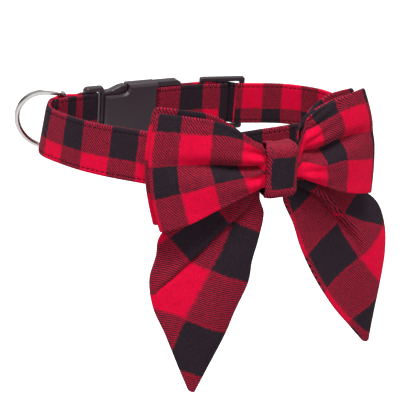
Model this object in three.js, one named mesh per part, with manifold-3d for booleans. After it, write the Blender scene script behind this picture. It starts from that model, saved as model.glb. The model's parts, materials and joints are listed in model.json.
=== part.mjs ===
// Pet bow tie collar: a flannel covered neck strap with a side release buckle, a slider, a D ring and a sailor bow.
// Millimetres, +Z up. The origin is the centre of the neck opening at half the strap's width, and the bow faces -Y.

import * as THREE from "three";
import Module from "manifold-3d";
import { mergeVertices } from "three/addons/utils/BufferGeometryUtils.js";

const wasm = await Module();
wasm.setup();

const RAD = Math.PI / 180;

// Neck loop
const LOOP_LENGTH = 436;
const STRAP_WIDTH = 25;
const STRAP_THICKNESS = 2.2;
const STRAP_EDGE_THICKNESS = 1.3;
const GAP = 0.35;
const FLARE = 6;
const BEND_FLARE = 6;

// Buckle
const BAR_THICKNESS = 3;
const BAR_ROUND = 0.3;
const RAIL_HEIGHT = 2.75;
const RAIL_CLEAR = 0.9;
const BUCKLE_DEPTH = 9.6;
const HOUSING_LENGTH = 48.4;
const FRAME_SHOWING = 11.1;
const BUCKLE_LENGTH = HOUSING_LENGTH + FRAME_SHOWING;
const HOUSING_WALL = 1.7;
const PRONG_THICKNESS = 4.6;
const PRONG_OPENING = 14.7;
const PRONG_HOOK = 8;
const MALE_BAR = 4.5;
const MALE_SLOT = 4.4;
const MALE_WEB = 2.6;
const FEMALE_BAR = 4.5;
const FEMALE_SLOT = 5;
const FEMALE_RAIL = 3.5;
const FEMALE_WINDOW = 4;

// Slider
const SLIDER_LENGTH = 27.6;
const SLIDER_BAR = 3;
const CENTRE_BAR_AT = 1.4;

// D ring
const RING_WIRE = 3;
const RING_INNER = 28.7;
const RING_ARM = 10.1;
const RING_SAG = 4.4;
const RING_DIRECTION = 154;
const POCKET_LENGTH = 26;
const SEWN_END = 8.5;

// Bow
const CLOTH = 1.3;
const TAIL_CLOTH = 1.6;
const BOW_TURN = -3.4;
const BOW_CURVE = 200;
const BOW_WIDTH = 124;
const BOW_HEIGHT = 58;
const TAIL_DROP = 122;
const KNOT_WIDTH = 12.2;
const KNOT_HEIGHT = 27;
const KNOT_CLOTH = 1.4;
const TAB_WIDTH = 9;
const TAB_HEIGHT = 14;
const TAB_DEPTH = 2;
const BOW_ALONG = 5.2;

// Where the hardware sits, as shares of the loop's length, counted from the front centre towards +X
const SLIDER_AT = 0.4142;
const BUCKLE_AT = 0.5436;
const RING_AT = 0.6374;
const BEND_AT = 0.7;
const KNOT_ALONG = 2.5;

const HALF_WIDTH = STRAP_WIDTH / 2;
const LAYER_STEP = BAR_THICKNESS / 2 + GAP + STRAP_THICKNESS / 2;
const FRAME_HEIGHT = STRAP_WIDTH + 2 * (RAIL_HEIGHT + RAIL_CLEAR);

// The loop seen from above: reach is the distance from the centre, as a share of a circle of the same length
const LOOP_ROWS = [
  { bearing: -90, reach: 0.727 },
  { bearing: -65, reach: 0.756 },
  { bearing: -40, reach: 0.892 },
  { bearing: -20, reach: 1.045 },
  { bearing: -2, reach: 1.155 },
  { bearing: 12, reach: 1.186 },
  { bearing: 27, reach: 1.112 },
  { bearing: 42, reach: 0.955 },
  { bearing: 60, reach: 0.838 },
  { bearing: 82, reach: 0.752 },
  { bearing: 104, reach: 0.749 },
  { bearing: 124, reach: 0.865 },
  { bearing: 140, reach: 1.07 },
  { bearing: 150, reach: 1.237 },
  { bearing: 160, reach: 1.255 },
  { bearing: 172, reach: 1.15 },
  { bearing: 186, reach: 1.045 },
  { bearing: 205, reach: 0.935 },
  { bearing: 225, reach: 0.893 },
  { bearing: 248, reach: 0.805 },
];

// The loop curve, scaled so that it is as long as the strap
function makeLoop() {
  const points = LOOP_ROWS.map(
    ({ bearing, reach }) =>
      new THREE.Vector3(reach * Math.cos(bearing * RAD), reach * Math.sin(bearing * RAD), 0),
  );
  const unit = new THREE.CatmullRomCurve3(points, true, "centripetal");
  unit.arcLengthDivisions = 1200;
  const scale = LOOP_LENGTH / unit.getLength();
  const curve = new THREE.CatmullRomCurve3(
    points.map((p) => p.clone().multiplyScalar(scale)),
    true,
    "centripetal",
  );
  curve.arcLengthDivisions = 1200;
  return curve;
}
const loop = makeLoop();

// The strap leans outward towards its lower edge, most of all round the left bend
function flareAt(share) {
  const apart = Math.min(Math.abs(share - BEND_AT), 1 - Math.abs(share - BEND_AT));
  const near = Math.max(0, 1 - apart / 0.09);
  return FLARE + BEND_FLARE * 0.5 * (1 - Math.cos(Math.PI * near));
}

// A place on the loop: its point, the way along it and the way outward, all level
function onLoop(share) {
  const at = ((share % 1) + 1) % 1;
  const along = loop.getTangentAt(at).setZ(0).normalize();
  const out = new THREE.Vector3(along.y, -along.x, 0);
  return { point: loop.getPointAt(at).setZ(0), along, out, flare: flareAt(at) };
}

// The straight frame of a stiff piece of a given length, centred on a place on the loop
function chordFrame(share, length) {
  const half = length / 2 / LOOP_LENGTH;
  const a = onLoop(share - half);
  const b = onLoop(share + half);
  const along = b.point.clone().sub(a.point).normalize();
  const out = new THREE.Vector3(along.y, -along.x, 0);
  return { point: a.point.clone().add(b.point).multiplyScalar(0.5), along, out, flare: flareAt(share) };
}

function placeIn(frame, along, outward) {
  return frame.point.clone().addScaledVector(frame.along, along).addScaledVector(frame.out, outward);
}

// A solid from rings of points: every ring has the same even number of points, there and back, and the ends are
// closed across unless it is a hoop
function ringsToGeometry(rings, hoop) {
  const count = rings[0].length;
  const positions = rings.flat().flatMap((p) => [p.x, p.y, p.z]);
  const faces = [];
  const last = hoop ? rings.length : rings.length - 1;
  for (let i = 0; i < last; i++) {
    const next = (i + 1) % rings.length;
    for (let j = 0; j < count; j++) {
      const k = (j + 1) % count;
      const [a, b, c, d] = [i * count + j, i * count + k, next * count + k, next * count + j];
      faces.push(a, b, c, a, c, d);
    }
  }
  if (!hoop) {
    const end = (rings.length - 1) * count;
    for (let j = 0; j < count / 2 - 1; j++) {
      const [a, b, c, d] = [j, j + 1, count - 2 - j, count - 1 - j];
      faces.push(a, c, b, a, d, c);
      faces.push(end + a, end + b, end + c, end + a, end + c, end + d);
    }
  }
  return outward(positions, faces);
}

// The geometry with its faces turned to point out
function outward(positions, faces) {
  const point = (i) => new THREE.Vector3().fromArray(positions, 3 * i);
  let volume = 0;
  for (let i = 0; i < faces.length; i += 3) {
    volume += point(faces[i]).dot(point(faces[i + 1]).cross(point(faces[i + 2])));
  }
  if (volume < 0) faces.reverse();
  const geometry = new THREE.BufferGeometry();
  geometry.setAttribute("position", new THREE.Float32BufferAttribute(positions, 3));
  geometry.setIndex(faces);
  return geometry;
}

// A sheet with a wall: grid[i][j] holds middle points and walls grow half the thickness to each side.
// A hoop closes on itself along i.
function sheetToGeometry(grid, thickness, hoop) {
  const rows = grid.length;
  const columns = grid[0].length;
  const at = (i, j) => grid[hoop ? (i + rows) % rows : THREE.MathUtils.clamp(i, 0, rows - 1)][
    THREE.MathUtils.clamp(j, 0, columns - 1)
  ];
  const rings = grid.map((row, i) => {
    const front = [];
    const back = [];
    row.forEach((p, j) => {
      const along = at(i + 1, j).clone().sub(at(i - 1, j));
      const across = at(i, j + 1).clone().sub(at(i, j - 1));
      const normal = along.cross(across).normalize().multiplyScalar(thickness / 2);
      front.push(p.clone().add(normal));
      back.unshift(p.clone().sub(normal));
    });
    return [...front, ...back];
  });
  return ringsToGeometry(rings, hoop);
}

// A table's rows, read at a share between them along a smooth curve
function readRows(rows, share) {
  const keys = Object.keys(rows[0]).filter((key) => key !== "share");
  const last = rows.length - 1;
  let i = 0;
  while (i < last - 1 && share > rows[i + 1].share) i++;
  const t = THREE.MathUtils.clamp((share - rows[i].share) / (rows[i + 1].share - rows[i].share), 0, 1);
  const slope = (k, key) => {
    const a = rows[Math.max(k - 1, 0)];
    const b = rows[Math.min(k + 1, last)];
    return (b[key] - a[key]) / (b.share - a.share);
  };
  const span = rows[i + 1].share - rows[i].share;
  const read = {};
  for (const key of keys) {
    const [p, q] = [rows[i][key], rows[i + 1][key]];
    const [m, n] = [slope(i, key) * span, slope(i + 1, key) * span];
    read[key] =
      (2 * t ** 3 - 3 * t ** 2 + 1) * p + (t ** 3 - 2 * t ** 2 + t) * m + (3 * t ** 2 - 2 * t ** 3) * q + (t ** 3 - t ** 2) * n;
  }
  return read;
}

const steps = (count) => Array.from({ length: count + 1 }, (_, i) => i / count);

// Solids joined and cut
function toSolid(geometry) {
  const bare = geometry.clone().deleteAttribute("normal").deleteAttribute("uv");
  const merged = mergeVertices(bare, 1e-4);
  return new wasm.Manifold(
    new wasm.Mesh({
      numProp: 3,
      vertProperties: merged.attributes.position.array,
      triVerts: new Uint32Array(merged.index.array),
    }),
  );
}

function fromSolid(solid) {
  const mesh = solid.getMesh();
  const geometry = new THREE.BufferGeometry();
  geometry.setAttribute("position", new THREE.BufferAttribute(new Float32Array(mesh.vertProperties), 3));
  geometry.setIndex(new THREE.BufferAttribute(new Uint32Array(mesh.triVerts), 1));
  return geometry;
}

// A plate from an outline in the buckle's frame: x runs along the strap, y up and z outward from the neck
function plate(shape, low, high, chamfer = 0) {
  const geometry = new THREE.ExtrudeGeometry(shape, {
    depth: high - low - 2 * chamfer,
    bevelEnabled: chamfer > 0,
    bevelThickness: chamfer,
    bevelSize: chamfer,
    bevelOffset: -chamfer,
    bevelSegments: 1,
    curveSegments: 5,
  });
  geometry.translate(0, 0, low + chamfer);
  return geometry;
}

function roundedRectangle(x0, x1, y0, y1, radius) {
  const shape = new THREE.Shape();
  shape.moveTo(x0 + radius, y0);
  shape.lineTo(x1 - radius, y0);
  shape.absarc(x1 - radius, y0 + radius, radius, -Math.PI / 2, 0, false);
  shape.lineTo(x1, y1 - radius);
  shape.absarc(x1 - radius, y1 - radius, radius, 0, Math.PI / 2, false);
  shape.lineTo(x0 + radius, y1);
  shape.absarc(x0 + radius, y1 - radius, radius, Math.PI / 2, Math.PI, false);
  shape.lineTo(x0, y0 + radius);
  shape.absarc(x0 + radius, y0 + radius, radius, Math.PI, 1.5 * Math.PI, false);
  return shape;
}

// Stands a piece drawn in its own frame up in a frame of the loop, leaning with the strap
function stand(mesh, frame, outwardBy) {
  const place = placeIn(frame, 0, outwardBy);
  const up = new THREE.Vector3(0, 0, 1).addScaledVector(frame.out, -Math.tan(frame.flare * RAD)).normalize();
  const away = frame.along.clone().cross(up);
  mesh.matrix.makeBasis(frame.along, up, away);
  mesh.matrix.setPosition(place);
  mesh.matrix.decompose(mesh.position, mesh.quaternion, mesh.scale);
  return mesh;
}

// Stations of the hardware
const sliderFrame = chordFrame(SLIDER_AT, SLIDER_LENGTH);
const buckleFrame = chordFrame(BUCKLE_AT, BUCKLE_LENGTH);
const halfBuckle = BUCKLE_LENGTH / 2;
const MALE_BAR_AT = halfBuckle - MALE_BAR / 2;
const FEMALE_BAR_AT = -halfBuckle + FEMALE_RAIL + FEMALE_WINDOW + FEMALE_BAR / 2;
const FEMALE_BODY_FROM = FEMALE_BAR_AT + FEMALE_BAR / 2 + FEMALE_SLOT;
const OUTER_BAR_AT = SLIDER_LENGTH / 2 - SLIDER_BAR / 2;

// The strap's outer layer over the D ring's bar: along is a share of the pocket's length, counted from the bar away
// from the buckle, and out counts layer steps outward from the inner layer
const POCKET_ROWS = [
  { along: -0.269, out: 1.407 },
  { along: -0.115, out: 1.966 },
  { along: 0.069, out: 2.034 },
  { along: 0.215, out: 1.458 },
  { along: 0.365, out: 0.949 },
  { along: 0.538, out: 0.339 },
  { along: 0.769, out: 0 },
];

// The strap over the slider's centre bar, and its end folded back round that bar: along is a share of the slider's
// length, counted from the bar
const SLIDER_ROWS = [
  { along: -0.268, out: 1.136 },
  { along: -0.152, out: 2.305 },
  { along: 0, out: 2.932 },
  { along: 0.167, out: 2.864 },
  { along: 0.395, out: 2.373 },
];
const SLIDER_END_ROWS = [
  { along: 0.087, out: 1.932 },
  { along: 0.181, out: 1.305 },
  { along: 0.246, out: 1.034 },
];

// The strap's route seen from above, from its sewn end behind the D ring, round the loop, to its end in the slider.
// Each stop has a place and the way outward there.
function strapRoute() {
  const stops = [];
  const onArc = (share, outwardBy) => {
    const frame = onLoop(share);
    stops.push({ point: placeIn(frame, 0, outwardBy), out: frame.out, flare: frame.flare });
  };
  const inFrame = (frame, along, outwardBy) =>
    stops.push({ point: placeIn(frame, along, outwardBy), out: frame.out, flare: frame.flare });
  // Half a turn round a bar, whose end has a half circle about (along, LAYER_STEP)
  const turn = (frame, along, way, toOut) => {
    for (const t of steps(6)) {
      const angle = Math.PI * (toOut ? t : 1 - t);
      inFrame(frame, along + way * LAYER_STEP * Math.sin(angle), LAYER_STEP * (1 - Math.cos(angle)));
    }
  };
  const shareOf = (length) => length / LOOP_LENGTH;
  const barEnd = (at, width, way) => at + way * (width / 2 - BAR_ROUND);

  // Sewn end and the fold round the prong frame's bar, with the D ring's pocket
  onArc(RING_AT + shareOf(SEWN_END), 0);
  onArc(RING_AT + shareOf(SEWN_END / 2), 0);
  onArc(RING_AT, 0);
  onArc(RING_AT - shareOf(POCKET_LENGTH / 4), 0);
  inFrame(buckleFrame, MALE_BAR_AT + MALE_BAR / 2, 0);
  turn(buckleFrame, barEnd(MALE_BAR_AT, MALE_BAR, -1), -1, true);
  inFrame(buckleFrame, MALE_BAR_AT + MALE_BAR / 2, 2 * LAYER_STEP);
  for (const { along, out } of POCKET_ROWS) onArc(RING_AT + shareOf(along * POCKET_LENGTH), out * LAYER_STEP);

  // Round the left bend, the front and the right side
  const from = RING_AT + shareOf(POCKET_LENGTH);
  const to = 1 + SLIDER_AT - shareOf(SLIDER_LENGTH / 2 + 8);
  const free = 44;
  for (let i = 0; i <= free; i++) onArc(from + ((to - from) * i) / free, 0);

  // Through the slider, outside its centre bar, and on to the housing's bar
  inFrame(sliderFrame, -OUTER_BAR_AT, 0);
  inFrame(sliderFrame, -OUTER_BAR_AT + SLIDER_LENGTH / 12, 0.1);
  for (const { along, out } of SLIDER_ROWS) {
    inFrame(sliderFrame, CENTRE_BAR_AT + along * SLIDER_LENGTH, out * LAYER_STEP);
  }
  onArc(SLIDER_AT + shareOf(SLIDER_LENGTH / 2 + 5), 2 * LAYER_STEP);
  inFrame(buckleFrame, -halfBuckle - 2, 2 * LAYER_STEP);
  inFrame(buckleFrame, FEMALE_BAR_AT - FEMALE_BAR / 2, 2 * LAYER_STEP);
  turn(buckleFrame, barEnd(FEMALE_BAR_AT, FEMALE_BAR, 1), 1, false);

  // Back inside to the slider's centre bar and round it
  inFrame(buckleFrame, FEMALE_BAR_AT - FEMALE_BAR / 2, 0);
  inFrame(buckleFrame, -halfBuckle - 2, 0);
  onArc(SLIDER_AT + shareOf(SLIDER_LENGTH / 2 + 5), 0);
  inFrame(sliderFrame, OUTER_BAR_AT, 0);
  inFrame(sliderFrame, CENTRE_BAR_AT + 4, 0);
  turn(sliderFrame, barEnd(CENTRE_BAR_AT, SLIDER_BAR, -1), -1, true);
  for (const { along, out } of SLIDER_END_ROWS) {
    inFrame(sliderFrame, CENTRE_BAR_AT + along * SLIDER_LENGTH, out * LAYER_STEP);
  }
  return stops;
}

// The strap as one band: a flat section with thinner, sewn edges, carried along its route
function makeStrap() {
  const stops = strapRoute();
  const curve = new THREE.CatmullRomCurve3(
    stops.map((stop) => stop.point),
    false,
    "centripetal",
  );
  const section = [
    [-HALF_WIDTH, -STRAP_EDGE_THICKNESS / 2],
    [-HALF_WIDTH + 1.6, -STRAP_THICKNESS / 2],
    [HALF_WIDTH - 1.6, -STRAP_THICKNESS / 2],
    [HALF_WIDTH, -STRAP_EDGE_THICKNESS / 2],
    [HALF_WIDTH, STRAP_EDGE_THICKNESS / 2],
    [HALF_WIDTH - 1.6, STRAP_THICKNESS / 2],
    [-HALF_WIDTH + 1.6, STRAP_THICKNESS / 2],
    [-HALF_WIDTH, STRAP_EDGE_THICKNESS / 2],
  ];
  const rings = [];
  const last = stops.length - 1;
  const ring = (i, t) => {
    const share = (i + t) / last;
    const point = curve.getPoint(share);
    const along = curve.getTangent(share).normalize();
    const side = new THREE.Vector3(along.y, -along.x, 0);
    const next = stops[Math.min(i + 1, last)];
    const out = stops[i].out.clone().lerp(next.out, t).normalize();
    const lean = Math.tan((stops[i].flare + (next.flare - stops[i].flare) * t) * RAD);
    return section.map(([up, thick]) =>
      point.clone().addScaledVector(side, thick).addScaledVector(out, -up * lean).setZ(up),
    );
  };
  for (let i = 0; i < last; i++) {
    const length = stops[i].point.distanceTo(stops[i + 1].point);
    const parts = Math.max(1, Math.round(length / 5));
    for (let k = 0; k < parts; k++) rings.push(ring(i, k / parts));
  }
  rings.push(ring(last, 0));
  return ringsToGeometry(rings, false);
}

// The outline of the prong frame and its two springy side prongs
function prongShape() {
  const half = FRAME_HEIGHT / 2;
  const root = halfBuckle - MALE_BAR - MALE_SLOT - MALE_WEB;
  const catchAt = -halfBuckle + HOUSING_LENGTH - PRONG_OPENING + GAP + 0.1;
  const spring = root - catchAt;
  const tip = catchAt - PRONG_HOOK;
  const shape = new THREE.Shape();
  const trace = (way) => [
    [root, way * (half - 3.2)],
    [root - 0.29 * spring, way * (half - 2.6)],
    [root - 0.65 * spring, way * (half - 0.6)],
    [catchAt + 0.1 * spring, way * half],
    [catchAt, way * (half - 0.9)],
    [catchAt, way * (half - 3.8)],
    [tip, way * (half - 5)],
    [tip - 0.4, way * (half - 6.8)],
    [catchAt + 0.22 * spring, way * (half - 6)],
    [root - 0.43 * spring, way * (half - 6.6)],
    [root - 0.145 * spring, way * (half - 9)],
  ];
  const upper = trace(1);
  const lower = trace(-1).reverse();
  shape.moveTo(halfBuckle - 2.4, half - 0.4);
  shape.lineTo(root + 1, half - 0.4);
  for (const [x, y] of upper) shape.lineTo(x, y);
  shape.lineTo(root - 2, 3);
  shape.lineTo(tip + 3, 2.2);
  shape.lineTo(tip + 3, -2.2);
  shape.lineTo(root - 2, -3);
  for (const [x, y] of lower) shape.lineTo(x, y);
  shape.lineTo(root + 1, -half + 0.4);
  shape.lineTo(halfBuckle - 2.4, -half + 0.4);
  shape.absarc(halfBuckle - 2.4, -half + 2.8, 2.4, -Math.PI / 2, 0, false);
  shape.absarc(halfBuckle - 2.4, half - 2.8, 2.4, 0, Math.PI / 2, false);
  return shape;
}

function makeProngs() {
  const opening = HALF_WIDTH + RAIL_CLEAR;
  const body = toSolid(plate(prongShape(), -PRONG_THICKNESS / 2, PRONG_THICKNESS / 2, 0.4));
  const slotFrom = halfBuckle - MALE_BAR - MALE_SLOT;
  const slot = toSolid(
    plate(roundedRectangle(slotFrom, slotFrom + MALE_SLOT, -opening, opening, 0.8), -BUCKLE_DEPTH, BUCKLE_DEPTH),
  );
  // The bar is thinner than the frame, so that the strap lies sunk between the rails
  const sink = (low, high) =>
    toSolid(plate(roundedRectangle(slotFrom - 0.5, halfBuckle + 4, -opening, opening, 0.4), low, high));
  return fromSolid(
    body
      .subtract(slot)
      .subtract(sink(BAR_THICKNESS / 2, BUCKLE_DEPTH))
      .subtract(sink(-BUCKLE_DEPTH, -BAR_THICKNESS / 2)),
  );
}

// The housing's outline: a tall body, necked in where the prongs' shoulders show
function housingShape() {
  const half = FRAME_HEIGHT / 2;
  const end = -halfBuckle + HOUSING_LENGTH;
  const neck = end - PRONG_OPENING;
  const shape = new THREE.Shape();
  shape.moveTo(-halfBuckle + 3, -half);
  shape.lineTo(neck, -half);
  shape.bezierCurveTo(neck + 0.6, -half + 4.4, neck + 3, -half + 5, neck + 6, -half + 5);
  shape.lineTo(end, -half + 5);
  shape.lineTo(end, half - 5);
  shape.lineTo(neck + 6, half - 5);
  shape.bezierCurveTo(neck + 3, half - 5, neck + 0.6, half - 4.4, neck, half);
  shape.lineTo(-halfBuckle + 3, half);
  shape.absarc(-halfBuckle + 3, half - 3, 3, Math.PI / 2, Math.PI, false);
  shape.absarc(-halfBuckle + 3, -half + 3, 3, Math.PI, 1.5 * Math.PI, false);
  return shape;
}

function makeHousing() {
  const half = FRAME_HEIGHT / 2;
  const opening = HALF_WIDTH + RAIL_CLEAR;
  const end = -halfBuckle + HOUSING_LENGTH;
  const low = -BUCKLE_DEPTH / 2;
  const high = BUCKLE_DEPTH / 2;
  const cut = (x0, x1, y0, y1, z0, z1) => toSolid(plate(roundedRectangle(x0, x1, y0, y1, 0.3), z0, z1));
  let solid = toSolid(plate(housingShape(), low, high, 1.2));
  // The strap frame is thinner than the body
  const frameEnd = FEMALE_BODY_FROM;
  const frameHalf = PRONG_THICKNESS / 2 + 0.4;
  solid = solid.subtract(cut(-halfBuckle - 5, frameEnd - 0.8, -half - 5, half + 5, frameHalf, high + 5));
  solid = solid.subtract(cut(-halfBuckle - 5, frameEnd - 0.8, -half - 5, half + 5, low - 5, -frameHalf));
  // Between the rails only the bars' thickness is left, and the window and slot go right through
  solid = solid.subtract(cut(-halfBuckle - 5, frameEnd, -opening, opening, BAR_THICKNESS / 2, high + 5));
  solid = solid.subtract(cut(-halfBuckle - 5, frameEnd, -opening, opening, low - 5, -BAR_THICKNESS / 2));
  const windowFrom = -halfBuckle + FEMALE_RAIL;
  solid = solid.subtract(cut(windowFrom, windowFrom + FEMALE_WINDOW, -opening, opening, low - 5, high + 5));
  solid = solid.subtract(cut(frameEnd - FEMALE_SLOT, frameEnd, -opening, opening, low - 5, high + 5));
  // The cavity that holds the prongs, open at the prong end and at both shoulders
  const room = BUCKLE_DEPTH / 2 - HOUSING_WALL;
  solid = solid.subtract(cut(frameEnd + 3, end + 5, -half + 3.2, half - 3.2, -room, room));
  solid = solid.subtract(cut(end - PRONG_OPENING, end + 5, -half - 5, half + 5, -room, room));
  return fromSolid(solid);
}

function makeSlider() {
  const half = FRAME_HEIGHT / 2;
  const opening = HALF_WIDTH + RAIL_CLEAR;
  const shape = roundedRectangle(-SLIDER_LENGTH / 2, SLIDER_LENGTH / 2, -half, half, 1.6);
  const inner = SLIDER_LENGTH / 2 - SLIDER_BAR;
  const left = roundedRectangle(-inner, CENTRE_BAR_AT - SLIDER_BAR / 2, -opening, opening, 0.8);
  const right = roundedRectangle(CENTRE_BAR_AT + SLIDER_BAR / 2, inner, -opening, opening, 0.8);
  shape.holes.push(left, right);
  return plate(shape, -BAR_THICKNESS / 2, BAR_THICKNESS / 2, 0.5);
}

// The D ring in its own frame: the straight bar lies on the y axis and the bow of the D reaches out along x
function makeRing() {
  const reach = (RING_INNER + RING_WIRE) / 2;
  const corner = 2.6;
  const middle = [];
  for (const t of steps(6)) middle.push([0, (reach - corner) * (2 * t - 1)]);
  for (const t of steps(3).slice(1)) {
    const angle = Math.PI - (t * Math.PI) / 2;
    middle.push([corner + corner * Math.cos(angle), reach - corner + corner * Math.sin(angle)]);
  }
  for (const t of steps(18)) {
    const angle = Math.PI / 2 - t * Math.PI;
    middle.push([RING_ARM + reach * Math.cos(angle), reach * Math.sin(angle)]);
  }
  for (const t of steps(3).slice(0, -1)) {
    const angle = -Math.PI / 2 - (t * Math.PI) / 2;
    middle.push([corner + corner * Math.cos(angle), -reach + corner + corner * Math.sin(angle)]);
  }
  const sides = 8;
  const rings = middle.map((p, i) => {
    const [a, b] = [middle[(i + middle.length - 1) % middle.length], middle[(i + 1) % middle.length]];
    const along = new THREE.Vector3(b[0] - a[0], b[1] - a[1], 0).normalize();
    const side = new THREE.Vector3(-along.y, along.x, 0);
    return Array.from({ length: sides }, (_, k) => {
      const angle = (2 * Math.PI * k) / sides;
      return new THREE.Vector3(p[0], p[1], 0)
        .addScaledVector(side, (Math.cos(angle) * RING_WIRE) / 2)
        .setZ((Math.sin(angle) * RING_WIRE) / 2);
    });
  });
  return ringsToGeometry(rings, true);
}

// The bow's own frame: x to the right, z up, and out is the distance towards the front from the front layer's middle
const LAYER = CLOTH + GAP;
const FRONT_LOOP = { front: 0, back: -LAYER };
const BACK_LOOP = { front: -2 * LAYER, back: -3 * LAYER };
const TAIL_OUT = -4 * LAYER - TAIL_CLOTH / 2;
const KNOT_FRONT = CLOTH / 2 + GAP + KNOT_CLOTH / 2;
const KNOT_BACK = TAIL_OUT - TAIL_CLOTH / 2 - GAP - KNOT_CLOTH / 2;

// A point of the bow: the whole bow curves back round the neck
function bowPoint(along, up, out, curve = BOW_CURVE) {
  const angle = along / curve;
  return new THREE.Vector3(
    (curve + out) * Math.sin(angle),
    -((curve + out) * Math.cos(angle) - curve),
    up,
  );
}

// One arm of a loop, from the knot (share 0) to its fold (share 1). Lengths along are shares of half the bow's width,
// heights are shares of half its height. front and back say how far the two layers stand out, and pleat is the depth
// of the folds that fan out from the knot.
const FRONT_LEFT = [
  { share: 0, topAlong: 0.08, topUp: 0.2, lowAlong: 0.08, lowUp: -0.46, front: 0, back: 0, pleat: 0, bulge: 0 },
  { share: 0.12, topAlong: 0.14, topUp: 0.22, lowAlong: 0.14, lowUp: -0.42, front: 0, back: 0, pleat: 0.2, bulge: 0 },
  { share: 0.28, topAlong: 0.25, topUp: 0.4, lowAlong: 0.27, lowUp: -0.58, front: 1.6, back: -0.4, pleat: 1.5, bulge: 0 },
  { share: 0.45, topAlong: 0.39, topUp: 0.57, lowAlong: 0.4, lowUp: -0.71, front: 2.6, back: -0.8, pleat: 1.7, bulge: 0.2 },
  { share: 0.62, topAlong: 0.55, topUp: 0.73, lowAlong: 0.53, lowUp: -0.88, front: 2.8, back: -1, pleat: 1.1, bulge: 1 },
  { share: 0.82, topAlong: 0.76, topUp: 0.8, lowAlong: 0.73, lowUp: -1.06, front: 1.6, back: -1, pleat: 0.4, bulge: 2.4 },
  { share: 1, topAlong: 0.955, topUp: 0.86, lowAlong: 0.915, lowUp: -1.14, front: 0, back: -0.9, pleat: 0, bulge: 4 },
];
const FRONT_RIGHT = [
  { share: 0, topAlong: -0.02, topUp: 0.2, lowAlong: -0.02, lowUp: -0.46, front: 0, back: 0, pleat: 0, bulge: 0 },
  { share: 0.12, topAlong: 0.125, topUp: 0.23, lowAlong: 0.125, lowUp: -0.38, front: 0, back: 0, pleat: 0.2, bulge: 0 },
  { share: 0.28, topAlong: 0.19, topUp: 0.6, lowAlong: 0.24, lowUp: -0.38, front: 1.4, back: -0.4, pleat: 1.5, bulge: 0 },
  { share: 0.45, topAlong: 0.31, topUp: 0.84, lowAlong: 0.38, lowUp: -0.48, front: 2.4, back: -0.8, pleat: 1.7, bulge: 0.2 },
  { share: 0.62, topAlong: 0.45, topUp: 0.91, lowAlong: 0.53, lowUp: -0.68, front: 2.6, back: -1, pleat: 1.1, bulge: 1.2 },
  { share: 0.82, topAlong: 0.6, topUp: 1, lowAlong: 0.75, lowUp: -0.81, front: 1.6, back: -1, pleat: 0.4, bulge: 3 },
  { share: 1, topAlong: 0.73, topUp: 1.085, lowAlong: 0.94, lowUp: -0.85, front: 0, back: -0.9, pleat: 0, bulge: 4.5 },
];

// The back loop's arms follow the front loop's, and their folds end a little beside them
const shifted = (rows, { topAlong, lowAlong, topUp, lowUp }) =>
  rows.map((row) => ({
    ...row,
    topAlong: row.topAlong + topAlong * row.share,
    lowAlong: row.lowAlong + lowAlong * row.share,
    topUp: row.topUp + topUp * row.share,
    lowUp: row.lowUp + lowUp * row.share,
    front: row.back - 0.6 * row.share,
    back: row.back - 1.1 * row.share,
  }));
const BACK_LEFT = shifted(FRONT_LEFT, { topAlong: 0.01, lowAlong: 0.045, topUp: 0.09, lowUp: 0.12 });
const BACK_RIGHT = shifted(FRONT_RIGHT, { topAlong: -0.05, lowAlong: -0.03, topUp: -0.02, lowUp: 0.03 });

const ARM_STEPS = 9;
const HEIGHT_STEPS = 8;

// The middle surface of a loop as a hoop of columns: out along one arm, round its fold, back, and the other arm
function loopGrid(rightRows, leftRows, layers) {
  const column = (rows, way, share, overhang, between) => {
    const row = readRows(rows, share);
    return steps(HEIGHT_STEPS).map((t) => {
      const edge = row.topAlong + (row.lowAlong - row.topAlong) * t;
      const along = (edge * BOW_WIDTH) / 2 + row.bulge * Math.sin(Math.PI * t) + overhang;
      const up = ((row.topUp + (row.lowUp - row.topUp) * t) * BOW_HEIGHT) / 2;
      const fold = row.pleat * Math.cos(3 * Math.PI * t) * (0.4 + 0.6 * Math.sin(Math.PI * t));
      const out = layers.front + row.front + (layers.back + row.back - layers.front - row.front) * between;
      const depth = layers === FRONT_LOOP ? 1 - between * 0.6 : 0.4;
      return bowPoint(KNOT_SHIFT + way * along, up, out + fold * depth);
    });
  };
  const arm = (rows, way) => {
    const front = steps(ARM_STEPS).map((s) => column(rows, way, s, 0, 0));
    const turn = [0.2, 0.5, 0.8].map((t) => column(rows, way, 1, 1.3 * Math.sin(Math.PI * t), t));
    const back = steps(ARM_STEPS).map((s) => column(rows, way, 1 - s, 0, 1));
    return [...front, ...turn, ...back];
  };
  return [...arm(rightRows, 1), ...arm(leftRows, -1).reverse()];
}

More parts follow.
